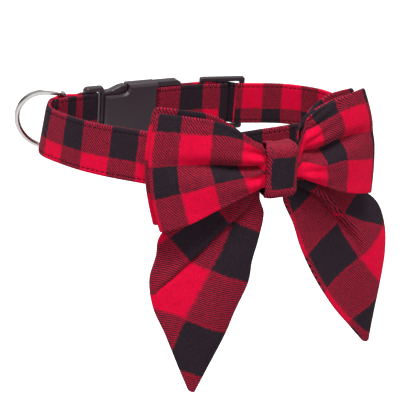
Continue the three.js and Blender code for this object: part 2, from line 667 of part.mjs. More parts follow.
// Tails: each row gives the two edges as shares of the drop, and how far each edge stands out
const LEFT_TAIL = [
  { share: 0, aAlong: -0.012, aUp: 0.02, aOut: 0, bAlong: -0.012, bUp: -0.1, bOut: 0, cup: 0 },
  { share: 0.08, aAlong: -0.066, aUp: 0.02, aOut: 0, bAlong: -0.066, bUp: -0.115, bOut: 0, cup: 0 },
  { share: 0.14, aAlong: -0.115, aUp: -0.085, aOut: -1.2, bAlong: -0.068, bUp: -0.165, bOut: -0.6, cup: 0 },
  { share: 0.2, aAlong: -0.22, aUp: -0.155, aOut: -3.2, bAlong: -0.036, bUp: -0.225, bOut: -0.8, cup: 0 },
  { share: 0.32, aAlong: -0.434, aUp: -0.275, aOut: -6.4, bAlong: -0.04, bUp: -0.33, bOut: -1, cup: -0.6 },
  { share: 0.45, aAlong: -0.472, aUp: -0.39, aOut: -6.4, bAlong: -0.067, bUp: -0.43, bOut: -1.3, cup: -2 },
  { share: 0.56, aAlong: -0.5, aUp: -0.48, aOut: -4.4, bAlong: -0.088, bUp: -0.525, bOut: -1.6, cup: -2.2 },
  { share: 0.67, aAlong: -0.485, aUp: -0.595, aOut: -3.4, bAlong: -0.141, bUp: -0.645, bOut: -1.8, cup: -2 },
  { share: 0.8, aAlong: -0.433, aUp: -0.72, aOut: -2.8, bAlong: -0.182, bUp: -0.75, bOut: -2, cup: -1.4 },
  { share: 0.92, aAlong: -0.373, aUp: -0.88, aOut: -2.4, bAlong: -0.255, bUp: -0.895, bOut: -2.2, cup: -0.6 },
  { share: 1, aAlong: -0.328, aUp: -0.995, aOut: -2.3, bAlong: -0.309, bUp: -1.003, bOut: -2.3, cup: 0 },
];
const RIGHT_TAIL = [
  { share: 0, aAlong: 0.012, aUp: 0.02, aOut: 0, bAlong: 0.012, bUp: -0.1, bOut: 0, cup: 0 },
  { share: 0.08, aAlong: 0.066, aUp: 0.02, aOut: 0, bAlong: 0.066, bUp: -0.115, bOut: 0, cup: 0 },
  { share: 0.14, aAlong: 0.12, aUp: -0.065, aOut: -1.5, bAlong: 0.07, bUp: -0.16, bOut: -0.6, cup: 0 },
  { share: 0.2, aAlong: 0.24, aUp: -0.125, aOut: -3.4, bAlong: 0.07, bUp: -0.2, bOut: -0.8, cup: 0 },
  { share: 0.32, aAlong: 0.491, aUp: -0.21, aOut: -7.4, bAlong: 0.12, bUp: -0.29, bOut: -1, cup: 0.4 },
  { share: 0.45, aAlong: 0.631, aUp: -0.3, aOut: -8.6, bAlong: 0.166, bUp: -0.4, bOut: -1.3, cup: 1.6 },
  { share: 0.56, aAlong: 0.676, aUp: -0.41, aOut: -6.4, bAlong: 0.226, bUp: -0.51, bOut: -1.6, cup: 2 },
  { share: 0.67, aAlong: 0.679, aUp: -0.53, aOut: -4.4, bAlong: 0.291, bUp: -0.61, bOut: -1.8, cup: 1.6 },
  { share: 0.8, aAlong: 0.656, aUp: -0.67, aOut: -3, bAlong: 0.386, bUp: -0.735, bOut: -2, cup: 1 },
  { share: 0.92, aAlong: 0.626, aUp: -0.83, aOut: -2.2, bAlong: 0.496, bUp: -0.855, bOut: -2.2, cup: 0.5 },
  { share: 1, aAlong: 0.608, aUp: -0.943, aOut: -2.3, bAlong: 0.582, bUp: -0.937, bOut: -2.3, cup: 0 },
];
const KNOT_SHIFT = -3;
const KNOT_UP = -3.8;
const TAIL_CURVE = 400;

function tailGrid(rows) {
  return steps(22).map((share) => {
    const row = readRows(rows, share);
    return steps(10).map((t) => {
      const along = (row.aAlong + (row.bAlong - row.aAlong) * t) * TAIL_DROP;
      const up = (row.aUp + (row.bUp - row.aUp) * t) * TAIL_DROP;
      const fold = row.cup * Math.sin(2 * Math.PI * t);
      const out = TAIL_OUT + row.aOut + (row.bOut - row.aOut) * t + fold;
      return bowPoint(KNOT_SHIFT + along, up, out, TAIL_CURVE);
    });
  });
}

// The knot: a band of cloth round the middle of all the layers, slightly waisted
function knotGrid() {
  const halfUp = (KNOT_HEIGHT - KNOT_CLOTH) / 2;
  const halfOut = (KNOT_FRONT - KNOT_BACK) / 2;
  const corner = 2.2;
  const middleOut = (KNOT_FRONT + KNOT_BACK) / 2;
  const path = [];
  const arc = (out, up, from) => {
    for (const t of steps(4)) {
      const angle = from + (t * Math.PI) / 2;
      path.push([out + corner * Math.cos(angle), up + corner * Math.sin(angle)]);
    }
  };
  arc(halfOut - corner, halfUp - corner, 0);
  arc(-halfOut + corner, halfUp - corner, Math.PI / 2);
  arc(-halfOut + corner, -halfUp + corner, Math.PI);
  arc(halfOut - corner, -halfUp + corner, 1.5 * Math.PI);
  return path.map(([out, up]) =>
    steps(5).map((t) =>
      bowPoint(KNOT_SHIFT + (t - 0.5) * KNOT_WIDTH, KNOT_UP + up * (1 - 0.05 * Math.sin(Math.PI * t)), middleOut + out, 1e4),
    ),
  );
}

// Materials
const flannel = new THREE.MeshStandardMaterial({ color: 0xb0122f, roughness: 0.95, metalness: 0 });
const plastic = new THREE.MeshStandardMaterial({ color: 0x2b262a, roughness: 0.42, metalness: 0 });
const nickel = new THREE.MeshStandardMaterial({ color: 0xd8d6d2, roughness: 0.12, metalness: 1 });

function named(name, geometry, material) {
  const mesh = new THREE.Mesh(geometry, material);
  mesh.name = name;
  return mesh;
}

const collar = new THREE.Group();
collar.add(named("strap", makeStrap(), flannel));
collar.add(stand(named("slider", makeSlider(), plastic), sliderFrame, LAYER_STEP));
collar.add(stand(named("buckle_prongs", makeProngs(), plastic), buckleFrame, LAYER_STEP));
collar.add(stand(named("buckle_housing", makeHousing(), plastic), buckleFrame, LAYER_STEP));

// The ring hangs by its bar in the strap's pocket, on the strap's upper edge, and its free side sags a little
function placeRing(mesh) {
  const frame = onLoop(RING_AT);
  const lean = Math.tan(frame.flare * RAD);
  const drop = (RING_INNER - STRAP_WIDTH) / 2 - GAP;
  const level = new THREE.Vector3(Math.cos(RING_DIRECTION * RAD), Math.sin(RING_DIRECTION * RAD), 0);
  const bar = new THREE.Vector3(0, 0, 1)
    .addScaledVector(frame.out, -lean)
    .addScaledVector(frame.along, Math.tan(RING_SAG * RAD))
    .normalize();
  const reach = level.addScaledVector(bar, -level.dot(bar)).normalize();
  mesh.matrix.makeBasis(reach, bar, reach.clone().cross(bar));
  mesh.matrix.setPosition(placeIn(frame, 0, LAYER_STEP).addScaledVector(bar, -drop));
  mesh.matrix.decompose(mesh.position, mesh.quaternion, mesh.scale);
  return mesh;
}
collar.add(placeRing(named("d_ring", makeRing(), nickel)));

// The bow stands off the front of the strap by the tab that it is sewn to
const bow = new THREE.Group();
bow.add(named("bow_front_loop", sheetToGeometry(loopGrid(FRONT_RIGHT, FRONT_LEFT, FRONT_LOOP), CLOTH, true), flannel));
bow.add(named("bow_back_loop", sheetToGeometry(loopGrid(BACK_RIGHT, BACK_LEFT, BACK_LOOP), CLOTH, true), flannel));
bow.add(named("tail_left", sheetToGeometry(tailGrid(LEFT_TAIL), TAIL_CLOTH, false), flannel));
bow.add(named("tail_right", sheetToGeometry(tailGrid(RIGHT_TAIL), TAIL_CLOTH, false), flannel));
bow.add(named("knot_wrap", sheetToGeometry(knotGrid(), KNOT_CLOTH, true), flannel));
const knotPlace = onLoop(KNOT_ALONG / LOOP_LENGTH);
const strapFace = knotPlace.point.y - STRAP_THICKNESS / 2 - HALF_WIDTH * Math.tan(FLARE * RAD);
const knotBackFace = KNOT_BACK - KNOT_CLOTH / 2;
const tab = new THREE.BoxGeometry(TAB_WIDTH, TAB_DEPTH, TAB_HEIGHT);
tab.translate(KNOT_SHIFT, GAP + TAB_DEPTH / 2 - knotBackFace, KNOT_UP);
bow.add(named("bow_tab", tab, flannel));
bow.position.set(BOW_ALONG, strapFace + knotBackFace - TAB_DEPTH - 4 * GAP, 0);
bow.rotation.z = BOW_TURN * RAD;
collar.add(bow);

export default collar;
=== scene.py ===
"""Pet bow tie collar: looks. Lengths are in millimetres until a mesh is made, which puts them in metres."""

import bisect
import json
import math

import bpy
from mathutils import Matrix, Vector


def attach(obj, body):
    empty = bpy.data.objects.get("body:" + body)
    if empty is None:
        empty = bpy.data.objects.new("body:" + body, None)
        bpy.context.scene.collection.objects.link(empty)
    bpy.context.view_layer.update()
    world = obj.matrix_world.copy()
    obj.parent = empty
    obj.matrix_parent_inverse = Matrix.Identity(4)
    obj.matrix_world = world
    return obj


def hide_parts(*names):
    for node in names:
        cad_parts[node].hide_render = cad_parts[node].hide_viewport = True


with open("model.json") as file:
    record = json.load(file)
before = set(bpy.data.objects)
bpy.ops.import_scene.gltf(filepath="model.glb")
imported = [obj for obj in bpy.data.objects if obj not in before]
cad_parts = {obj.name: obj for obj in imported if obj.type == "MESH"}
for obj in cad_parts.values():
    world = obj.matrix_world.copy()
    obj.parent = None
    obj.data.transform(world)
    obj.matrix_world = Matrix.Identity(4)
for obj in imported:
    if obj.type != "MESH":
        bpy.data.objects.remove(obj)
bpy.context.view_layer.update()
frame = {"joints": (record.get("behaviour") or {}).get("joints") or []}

RAD = math.pi / 180

# Sizes in millimetres, as in the part
LOOP_LENGTH = 436
STRAP_WIDTH = 25
STRAP_THICKNESS = 2.2
GAP = 0.35
FLARE = 6
BEND_FLARE = 6
BAR_THICKNESS = 3
BAR_ROUND = 0.3
BUCKLE_LENGTH = 59.5
MALE_BAR = 4.5
FEMALE_BAR = 4.5
FEMALE_RAIL = 3.5
FEMALE_WINDOW = 4
SLIDER_LENGTH = 27.6
SLIDER_BAR = 3
CLOTH = 1.3
TAIL_CLOTH = 1.6
BOW_TURN = -3.4
BOW_CURVE = 200
TAIL_CURVE = 400
FLAT_CURVE = 1e4
BOW_WIDTH = 124
BOW_HEIGHT = 58
TAIL_DROP = 122
KNOT_WIDTH = 12.2
KNOT_HEIGHT = 27
KNOT_CLOTH = 1.4
KNOT_SHIFT = -3
KNOT_UP = -3.8
TAB_WIDTH = 9
TAB_HEIGHT = 14
TAB_DEPTH = 2
BOW_ALONG = 5.2
SLIDER_AT = 0.4142
BUCKLE_AT = 0.5436
RING_AT = 0.6374
BEND_AT = 0.7
KNOT_ALONG = 2.5
HALF_WIDTH = STRAP_WIDTH / 2
LAYER_STEP = BAR_THICKNESS / 2 + GAP + STRAP_THICKNESS / 2
LAYER = CLOTH + GAP

LOOP_ROWS = [
    (-90, 0.727), (-65, 0.756), (-40, 0.892), (-20, 1.045), (-2, 1.155),
    (12, 1.186), (27, 1.112), (42, 0.955), (60, 0.838), (82, 0.752),
    (104, 0.749), (124, 0.865), (140, 1.07), (150, 1.237), (160, 1.255),
    (172, 1.15), (186, 1.045), (205, 0.935), (225, 0.893), (248, 0.805),
]


def spline_point(points, closed, place):
    """A point of a centripetal Catmull-Rom curve; place counts from point to point."""
    count = len(points)
    i = math.floor(place)
    w = place - i
    if closed:
        p = [points[(i + k) % count] for k in (-1, 0, 1, 2)]
    else:
        if i >= count - 1:
            i, w = count - 2, 1.0
        p1, p2 = points[i], points[i + 1]
        p0 = points[i - 1] if i > 0 else p1 * 2 - p2
        p3 = points[i + 2] if i + 2 < count else p2 * 2 - p1
        p = [p0, p1, p2, p3]
    d0, d1, d2 = (max((p[k + 1] - p[k]).length, 1e-8) ** 0.5 for k in range(3))
    m1 = ((p[1] - p[0]) / d0 - (p[2] - p[0]) / (d0 + d1) + (p[2] - p[1]) / d1) * d1
    m2 = ((p[2] - p[1]) / d1 - (p[3] - p[1]) / (d1 + d2) + (p[3] - p[2]) / d2) * d1
    a = p[1]
    c = p[1] * -3 + p[2] * 3 - m1 * 2 - m2
    d = p[1] * 2 - p[2] * 2 + m1 + m2
    return a + m1 * w + c * (w * w) + d * (w * w * w)


class Loop:
    """The neck loop, read by its share of the length."""

    STEPS = 1200

    def __init__(self):
        self.points = [
            Vector((reach * math.cos(b * RAD), reach * math.sin(b * RAD), 0)) for b, reach in LOOP_ROWS
        ]
        self.measure()
        scale = LOOP_LENGTH / self.lengths[-1]
        self.points = [p * scale for p in self.points]
        self.measure()

    def measure(self):
        self.lengths = [0.0]
        last = self.at(0)
        for k in range(1, self.STEPS + 1):
            here = self.at(k / self.STEPS)
            self.lengths.append(self.lengths[-1] + (here - last).length)
            last = here

    def at(self, t):
        return spline_point(self.points, True, t * len(self.points))

    def station(self, share):
        target = (share % 1) * self.lengths[-1]
        low = bisect.bisect_right(self.lengths, target) - 1
        low = min(low, self.STEPS - 1)
        span = self.lengths[low + 1] - self.lengths[low]
        t = (low + (target - self.lengths[low]) / span) / self.STEPS
        along = (self.at(t + 1e-4) - self.at(t - 1e-4)).normalized()
        return self.at(t), along


def flare_at(share):
    apart = min(abs(share - BEND_AT), 1 - abs(share - BEND_AT))
    near = max(0, 1 - apart / 0.09)
    return FLARE + BEND_FLARE * 0.5 * (1 - math.cos(math.pi * near))


class Frame:
    """A place on the loop: its point, the way along it and the way outward."""

    def __init__(self, point, along, flare):
        self.point = point
        self.along = along
        self.out = Vector((along.y, -along.x, 0))
        self.flare = flare

    def place(self, along, outward):
        return self.point + self.along * along + self.out * outward


def on_loop(share):
    point, along = LOOP.station(share)
    return Frame(point, along, flare_at(share % 1))


def chord_frame(share, length):
    half = length / 2 / LOOP_LENGTH
    a, _ = LOOP.station(share - half)
    b, _ = LOOP.station(share + half)
    return Frame((a + b) / 2, (b - a).normalized(), flare_at(share))


def read_rows(rows, share):
    """A table's row at a share between its rows, along a smooth curve."""
    last = len(rows) - 1
    i = 0
    while i < last - 1 and share > rows[i + 1]["share"]:
        i += 1
    p, q = rows[i], rows[i + 1]
    span = q["share"] - p["share"]
    t = min(max((share - p["share"]) / span, 0), 1)
    h = (2 * t**3 - 3 * t**2 + 1, t**3 - 2 * t**2 + t, 3 * t**2 - 2 * t**3, t**3 - t**2)

    def slope(k, key):
        a, b = rows[max(k - 1, 0)], rows[min(k + 1, last)]
        return (b[key] - a[key]) / (b["share"] - a["share"])

    return {
        key: h[0] * p[key] + h[1] * slope(i, key) * span + h[2] * q[key] + h[3] * slope(i + 1, key) * span
        for key in p
        if key != "share"
    }


def between(table, x):
    """Straight lines through (x, value) pairs, carried on past both ends."""
    i = 0
    while i < len(table) - 2 and x > table[i + 1][0]:
        i += 1
    (x0, y0), (x1, y1) = table[i], table[i + 1]
    return y0 + (y1 - y0) * (x - x0) / (x1 - x0)


def steps(count):
    return [i / count for i in range(count + 1)]


def smooth(low, high, x):
    t = min(max((x - low) / (high - low), 0), 1)
    return t * t * (3 - 2 * t)


LOOP = Loop()


# The bow. Lengths along are shares of half its width, heights are shares of half its height.
ARM_KEYS = ("share", "topAlong", "topUp", "lowAlong", "lowUp", "front", "back", "bulge", "valley", "line")


def table(keys, rows):
    return [dict(zip(keys, row)) for row in rows]


FRONT_LEFT = table(ARM_KEYS, [
    (0.00, 0.060, 0.310, 0.060, -0.440, 0.0, 0.0, 0.0, 0.0, 0.50),
    (0.12, 0.140, 0.305, 0.140, -0.370, 0.3, 0.0, 0.0, 1.0, 0.51),
    (0.28, 0.250, 0.405, 0.270, -0.430, 1.8, -0.5, 0.0, 3.2, 0.53),
    (0.45, 0.390, 0.600, 0.400, -0.540, 2.9, -1.0, 0.2, 4.2, 0.53),
    (0.62, 0.550, 0.755, 0.530, -0.670, 3.0, -1.2, 1.0, 3.4, 0.50),
    (0.82, 0.760, 0.830, 0.730, -0.905, 1.7, -1.1, 2.4, 1.4, 0.45),
    (1.00, 0.955, 0.870, 0.915, -1.040, 0.0, -0.9, 4.0, 0.0, 0.43),
])
FRONT_RIGHT = table(ARM_KEYS, [
    (0.00, -0.030, 0.260, -0.020, -0.440, 0.0, 0.0, 0.0, 0.0, 0.60),
    (0.12, 0.080, 0.600, 0.120, -0.250, 0.3, 0.0, 0.0, 1.2, 0.60),
    (0.28, 0.190, 0.775, 0.240, -0.325, 1.6, -0.5, 0.0, 3.2, 0.58),
    (0.45, 0.310, 0.905, 0.380, -0.450, 2.6, -1.0, 0.2, 4.2, 0.55),
    (0.62, 0.450, 1.000, 0.530, -0.590, 2.8, -1.2, 1.2, 3.8, 0.47),
    (0.82, 0.600, 1.060, 0.750, -0.725, 1.7, -1.1, 3.0, 2.2, 0.42),
    (1.00, 0.730, 1.085, 0.940, -0.810, 0.0, -0.9, 4.5, 0.6, 0.41),
])


def shifted(rows, top_along, low_along, top_up, low_up, tuck):
    made = []
    for row in rows:
        s = row["share"]
        made.append(dict(
            row,
            topAlong=row["topAlong"] + top_along * s,
            lowAlong=row["lowAlong"] + low_along * s,
            topUp=row["topUp"] + top_up * s - tuck * (1 - smooth(0.15, 0.6, s)),
            lowUp=row["lowUp"] + low_up * s,
            front=row["back"] - 0.6 * s,
            back=row["back"] - 1.1 * s,
        ))
    return made


BACK_LEFT = shifted(FRONT_LEFT, 0.01, 0.045, 0.06, 0.06, 0.05)
BACK_RIGHT = shifted(FRONT_RIGHT, -0.05, -0.03, -0.02, 0.03, 0.26)
FRONT_OUT = (0.0, -LAYER)
BACK_OUT = (-2 * LAYER, -3 * LAYER)
TAIL_OUT = -4 * LAYER - TAIL_CLOTH / 2
KNOT_FRONT = CLOTH / 2 + GAP + KNOT_CLOTH / 2
KNOT_BACK = TAIL_OUT - TAIL_CLOTH / 2 - GAP - KNOT_CLOTH / 2
KNOT_BACK_FACE = KNOT_BACK - KNOT_CLOTH / 2

knot_place, _ = LOOP.station(KNOT_ALONG / LOOP_LENGTH)
STRAP_FACE = knot_place.y - STRAP_THICKNESS / 2 - HALF_WIDTH * math.tan(FLARE * RAD)
BOW_AT = Vector((BOW_ALONG, STRAP_FACE + KNOT_BACK_FACE - TAB_DEPTH - 4 * GAP, 0))


def bow_point(along, up, out, curve=BOW_CURVE):
    """A point of the bow in the part's frame: the bow curves back round the neck and is turned a little."""
    angle = along / curve
    x = (curve + out) * math.sin(angle)
    y = -((curve + out) * math.cos(angle) - curve)
    c, s = math.cos(BOW_TURN * RAD), math.sin(BOW_TURN * RAD)
    return Vector((c * x - s * y, s * x + c * y, up)) + BOW_AT


# The knot's hollow, which the layers keep to, and its sides on the left and on the right
HOLLOW_TOP = 6.1
HOLLOW_LOW = -14.2
KNOT_SIDES = {-1: 9.4, 1: 8.1}
KNOT_SPREAD = 3.0
# The small gathers beside the knot and the back loop's rear pleats: how deep, where and how far apart
GATHER = 0.52
GATHER_AT = 15
GATHER_SPAN = 9
GATHER_PITCH = 3.2
GATHER_SPREAD = 0.16
REAR_PLEAT = 1.95
PLEAT_PITCH = 5.8


def arm_point(rows, way, outs, share, t, layer):
    """A point of an arm: layer 0 is the front one and 1 the back one, and t runs from the top edge down."""
    row = read_rows(rows, share)
    edge = row["topAlong"] + (row["lowAlong"] - row["topAlong"]) * t
    along = edge * BOW_WIDTH / 2 + row["bulge"] * math.sin(math.pi * t)
    # Inside the knot the layers keep to its hollow, and they spread beside it
    free = smooth(KNOT_SIDES[way], KNOT_SIDES[way] + KNOT_SPREAD, along)
    top, low = row["topUp"] * BOW_HEIGHT / 2, row["lowUp"] * BOW_HEIGHT / 2
    held_top, held_low = min(top, HOLLOW_TOP), max(low, HOLLOW_LOW)
    top = held_top + (top - held_top) * free
    low = held_low + (low - held_low) * free
    up = top + (low - top) * t
    front = outs[0] + row["front"] * free
    back = outs[1] + row["back"] * free
    out = front + (back - front) * layer
    up -= 2.0 * layer * math.exp(-t / 0.09)
    apart = abs(t - row["line"])
    valley = row["valley"]
    fold = -1.25 * valley * math.exp(-((apart / 0.075) ** 2))
    fold += 0.22 * valley * math.sin(math.pi * min(apart / 0.45, 1))
    fold += 0.8 * math.exp(-(((share - 0.2) / 0.14) ** 2)) * math.sin(2 * math.pi * (3.4 * t + 0.15))
    fold += 0.30 * math.sin(math.pi * t) * math.sin(2 * math.pi * (1.1 * share + 0.9 * t))
    keep = (1 - 0.88 * layer) if outs is FRONT_OUT else 0.12
    # The gathers by the knot run through all the layers alike, and the rearmost layer keeps pleats of its own
    pitch = GATHER_PITCH + GATHER_SPREAD * along
    gather = GATHER * math.exp(-(((along - GATHER_AT) / GATHER_SPAN) ** 2))
    gather *= 1 + math.sin(2 * math.pi * (up - KNOT_UP) / pitch)
    pleat = 0.0
    if outs is BACK_OUT:
        held = smooth(0.28, 0.5, share) * (1 - smooth(0.88, 1.0, share))
        pleat = REAR_PLEAT * layer * held * (1 - math.cos(2 * math.pi * (up - KNOT_UP) / PLEAT_PITCH)) / 2
    return bow_point(KNOT_SHIFT + way * along, up, out + fold * keep * free + gather * free - pleat)


TAIL_KEYS = ("share", "aAlong", "aUp", "aOut", "bAlong", "bUp", "bOut", "cup")
LEFT_TAIL = table(TAIL_KEYS, [
    (0, -0.012, 0.02, 0, -0.012, -0.1, 0, 0),
    (0.08, -0.070, 0.02, 0, -0.066, -0.112, 0, 0),
    (0.14, -0.115, -0.085, -1.2, -0.054, -0.165, -0.6, 0),
    (0.2, -0.22, -0.155, -3.2, -0.036, -0.225, -0.8, 0),
    (0.32, -0.434, -0.275, -6.4, -0.052, -0.33, -1, -0.6),
    (0.45, -0.472, -0.39, -6.4, -0.076, -0.43, -1.3, -2),
    (0.56, -0.5, -0.48, -4.4, -0.088, -0.525, -1.6, -2.2),
    (0.67, -0.485, -0.595, -3.4, -0.141, -0.645, -1.8, -2),
    (0.8, -0.433, -0.72, -2.8, -0.182, -0.75, -2, -1.4),
    (0.92, -0.373, -0.88, -2.4, -0.255, -0.895, -2.2, -0.6),
    (1, -0.328, -0.995, -2.3, -0.309, -1.003, -2.3, 0),
])
RIGHT_TAIL = table(TAIL_KEYS, [
    (0, 0.012, 0.02, 0, 0.012, -0.1, 0, 0),
    (0.08, 0.066, 0.02, 0, 0.066, -0.115, 0, 0),
    (0.14, 0.12, -0.065, -1.5, 0.058, -0.163, -0.6, 0),
    (0.2, 0.24, -0.125, -3.4, 0.07, -0.2, -0.8, 0),
    (0.32, 0.491, -0.21, -7.4, 0.12, -0.29, -1, 0.4),
    (0.45, 0.631, -0.3, -8.6, 0.166, -0.4, -1.3, 1.6),
    (0.56, 0.676, -0.41, -6.4, 0.226, -0.51, -1.6, 2),
    (0.67, 0.679, -0.53, -4.4, 0.291, -0.61, -1.8, 1.6),
    (0.8, 0.656, -0.67, -3, 0.386, -0.735, -2, 1),
    (0.92, 0.626, -0.83, -2.2, 0.496, -0.855, -2.2, 0.5),
    (1, 0.613, -0.958, -2.3, 0.589, -0.956, -2.3, 0),
])


# Where the checks' edges lie. Odd whole numbers start a black stripe and even ones a red stripe.
STRAP_OUTER = [
    (180.0, -9.0), (312.7, 0.0), (326.7, 1.0), (341.3, 2.0), (357.3, 3.0), (372.9, 4.0), (436.0, 8.0),
]
STRAP_INNER = [
    (20.0, -9.0), (131.6, 0.0), (144.0, 1.0), (156.1, 2.0), (168.3, 3.0), (270.0, 10.0), (436.0, 21.0),
]
STRAP_FOLD = [(176.0, 0.0), (192.7, 1.0), (208.8, 2.0), (224.5, 3.0)]
STRAP_POCKET = [(259.3, 1.0), (270.0, 2.0), (273.2, 3.0), (278.9, 4.0), (285.0, 5.0)]
STRAP_ROW = -2.8
CHECK_HEIGHT = 14.9
# A row stops short of the next stripe at the strap's top edge
ROW_END = 0.94
STRAP_TWILL = 11

LEFT_COLUMNS = [(0.0, 4.96), (0.12, 4.93), (0.4, 4.0), (0.65, 3.0), (0.848, 2.0), (1.0, 1.02)]
LEFT_BACK_COLUMNS = [(0.1, 4.4), (0.35, 3.4), (0.6, 2.3), (0.8, 1.3), (1.0, 0.45)]
RIGHT_COLUMNS = [(0.0, 0.05), (0.14, 0.08), (0.425, 1.0), (0.66, 2.0), (0.972, 3.0), (1.0, 3.1)]
ROW_KEYS = ("share", "first", "second", "third")
LEFT_ROWS = table(ROW_KEYS, [
    (0.0, 0.08, 0.51, 0.61),
    (0.4, 0.10, 0.525, 0.675),
    (0.65, 0.142, 0.478, 0.69),
    (0.85, 0.142, 0.43, 0.70),
    (1.0, 0.142, 0.435, 0.725),
])
RIGHT_ROWS = table(ROW_KEYS, [
    (0.0, 0.30, 0.57, 0.69),
    (0.2, 0.23, 0.56, 0.72),
    (0.42, 0.19, 0.545, 0.74),
    (0.64, 0.125, 0.43, 0.66),
    (1.0, 0.125, 0.40, 0.675),
])
# How far apart the twill lines of the bow lie, and how wide its checks are on the tab
BOW_TWILL = 15.0 * 0.7
TAB_CHECK = 15


class Grid:
    """A sheet's middle surface: points[i][j], and what each point says about the cloth's pattern."""

    def __init__(self, points, marks, hoop=False):
        self.points = points
        self.marks = marks
        self.hoop = hoop

    def at(self, i, j):
        rows = len(self.points)
        i = i % rows if self.hoop else min(max(i, 0), rows - 1)
        return self.points[i][min(max(j, 0), len(self.points[0]) - 1)]

    def normal(self, i, j):
        along = self.at(i + 1, j) - self.at(i - 1, j)
        across = self.at(i, j + 1) - self.at(i, j - 1)
        return along.cross(across).normalized()


def build_mesh(name, vertices, faces, marks, material):
    mesh = bpy.data.meshes.new(name)
    mesh.from_pydata([v * 0.001 for v in vertices], [], faces)
    if marks:
        layer = mesh.attributes.new("weave", "FLOAT_VECTOR", "POINT")
        layer.data.foreach_set("vector", [value for mark in marks for value in mark])
    mesh.materials.append(material)
    mesh.polygons.foreach_set("use_smooth", [True] * len(mesh.polygons))
    mesh.update()
    volume = sum(p.center.dot(p.normal) * p.area for p in mesh.polygons)
    if volume < 0:
        mesh.flip_normals()
    made = bpy.data.objects.new(name, mesh)
    bpy.context.scene.collection.objects.link(made)
    return made


def sheet_mesh(name, grid, thickness, material):
    """A closed sheet with rounded edges: each row is a ring of the front, a rim, the back and the other rim."""
    rows, columns = len(grid.points), len(grid.points[0])
    half = thickness / 2
    vertices, marks = [], []
    rim = [math.pi / 4, math.pi / 2, 3 * math.pi / 4]
    for i in range(rows):
        ring, ring_marks = [], []
        normals = [grid.normal(i, j) for j in range(columns)]
        row = grid.points[i]
        mark = grid.marks[i]
        for j in range(columns):
            ring.append(row[j] + normals[j] * half)
            ring_marks.append(mark[j])
        edge = (row[-1] - row[-2]).normalized()
        for a in rim:
            ring.append(row[-1] + normals[-1] * half * math.cos(a) + edge * half * math.sin(a))
            ring_marks.append(mark[-1])
        for j in reversed(range(columns)):
            ring.append(row[j] - normals[j] * half)
            ring_marks.append(mark[j])
        edge = (row[0] - row[1]).normalized()
        for a in rim:
            ring.append(row[0] - normals[0] * half * math.cos(a) + edge * half * math.sin(a))
            ring_marks.append(mark[0])
        vertices.append(ring)
        marks.append(ring_marks)
    if not grid.hoop:
        # The two ends are rounded by one smaller ring each
        for first, inner in ((0, 1), (-1, -2)):
            middle = [grid.at(0 if first == 0 else rows - 1, j) for j in range(columns)]
            inward = [grid.at(1 if first == 0 else rows - 2, j) for j in range(columns)]
            order = list(range(columns)) + [columns - 1] * 3 + list(reversed(range(columns))) + [0] * 3
            cap = []
            for k, j in enumerate(order):
                away = (middle[j] - inward[j]).normalized() * half
                cap.append(middle[j] + (vertices[first][k] - middle[j]) * 0.35 + away * 0.9)
            if first == 0:
                vertices.insert(0, cap)
                marks.insert(0, marks[0])
            else:
                vertices.append(cap)
                marks.append(marks[-1])
    count = len(vertices[0])
    total = len(vertices)
    faces = []
    for i in range(total if grid.hoop else total - 1):
        n = (i + 1) % total
        for j in range(count):
            k = (j + 1) % count
            faces.append((i * count + j, i * count + k, n * count + k, n * count + j))
    if not grid.hoop:
        last = (total - 1) * count
        faces.append(tuple(reversed(range(count))))
        faces.append(tuple(last + j for j in range(count)))
    flat = [v for ring in vertices for v in ring]
    flat_marks = [m for ring in marks for m in ring]
    return build_mesh(name, flat, faces, flat_marks, material)


# Strap route, as in the part, with the station of each stop and the side that shows which cloth
SLIDER = chord_frame(SLIDER_AT, SLIDER_LENGTH)
BUCKLE = chord_frame(BUCKLE_AT, BUCKLE_LENGTH)
HALF_BUCKLE = BUCKLE_LENGTH / 2
MALE_BAR_AT = HALF_BUCKLE - MALE_BAR / 2
FEMALE_BAR_AT = -HALF_BUCKLE + FEMALE_RAIL + FEMALE_WINDOW + FEMALE_BAR / 2
CENTRE_BAR_AT = 1.4
OUTER_BAR_AT = SLIDER_LENGTH / 2 - SLIDER_BAR / 2
SLIDER_S = SLIDER_AT * LOOP_LENGTH
BUCKLE_S = BUCKLE_AT * LOOP_LENGTH
RING_S = RING_AT * LOOP_LENGTH
# Stops past the ring's or the slider's centre: the sewn end, then along and outward over the ring's pocket,
# through the slider and at the strap's end
SEWN_STOPS = (8.5, 4, 0, -6.5)
POCKET_STOPS = (
    (-7, LAYER_STEP + 1.2), (-3, 2 * LAYER_STEP - 0.1), (1.8, 2 * LAYER_STEP + 0.1),
    (5.6, 2 * LAYER_STEP - 1.6), (9.5, STRAP_THICKNESS + 0.6), (14, 1), (20, 0),
)
SLIDER_STOPS = (
    (-OUTER_BAR_AT, 0), (-OUTER_BAR_AT + 2.3, 0.1), (CENTRE_BAR_AT - 7.4, LAYER_STEP + 0.4),
    (CENTRE_BAR_AT - 4.2, 2 * LAYER_STEP + 0.9), (CENTRE_BAR_AT, 3 * LAYER_STEP - 0.2),
    (CENTRE_BAR_AT + 4.6, 3 * LAYER_STEP - 0.4), (OUTER_BAR_AT, 2 * LAYER_STEP + 1.1),
)
END_STOPS = (
    (CENTRE_BAR_AT + 2.4, 2 * LAYER_STEP - 0.2), (CENTRE_BAR_AT + 5, LAYER_STEP + 0.9),
    (CENTRE_BAR_AT + 6.8, LAYER_STEP + 0.1),
)


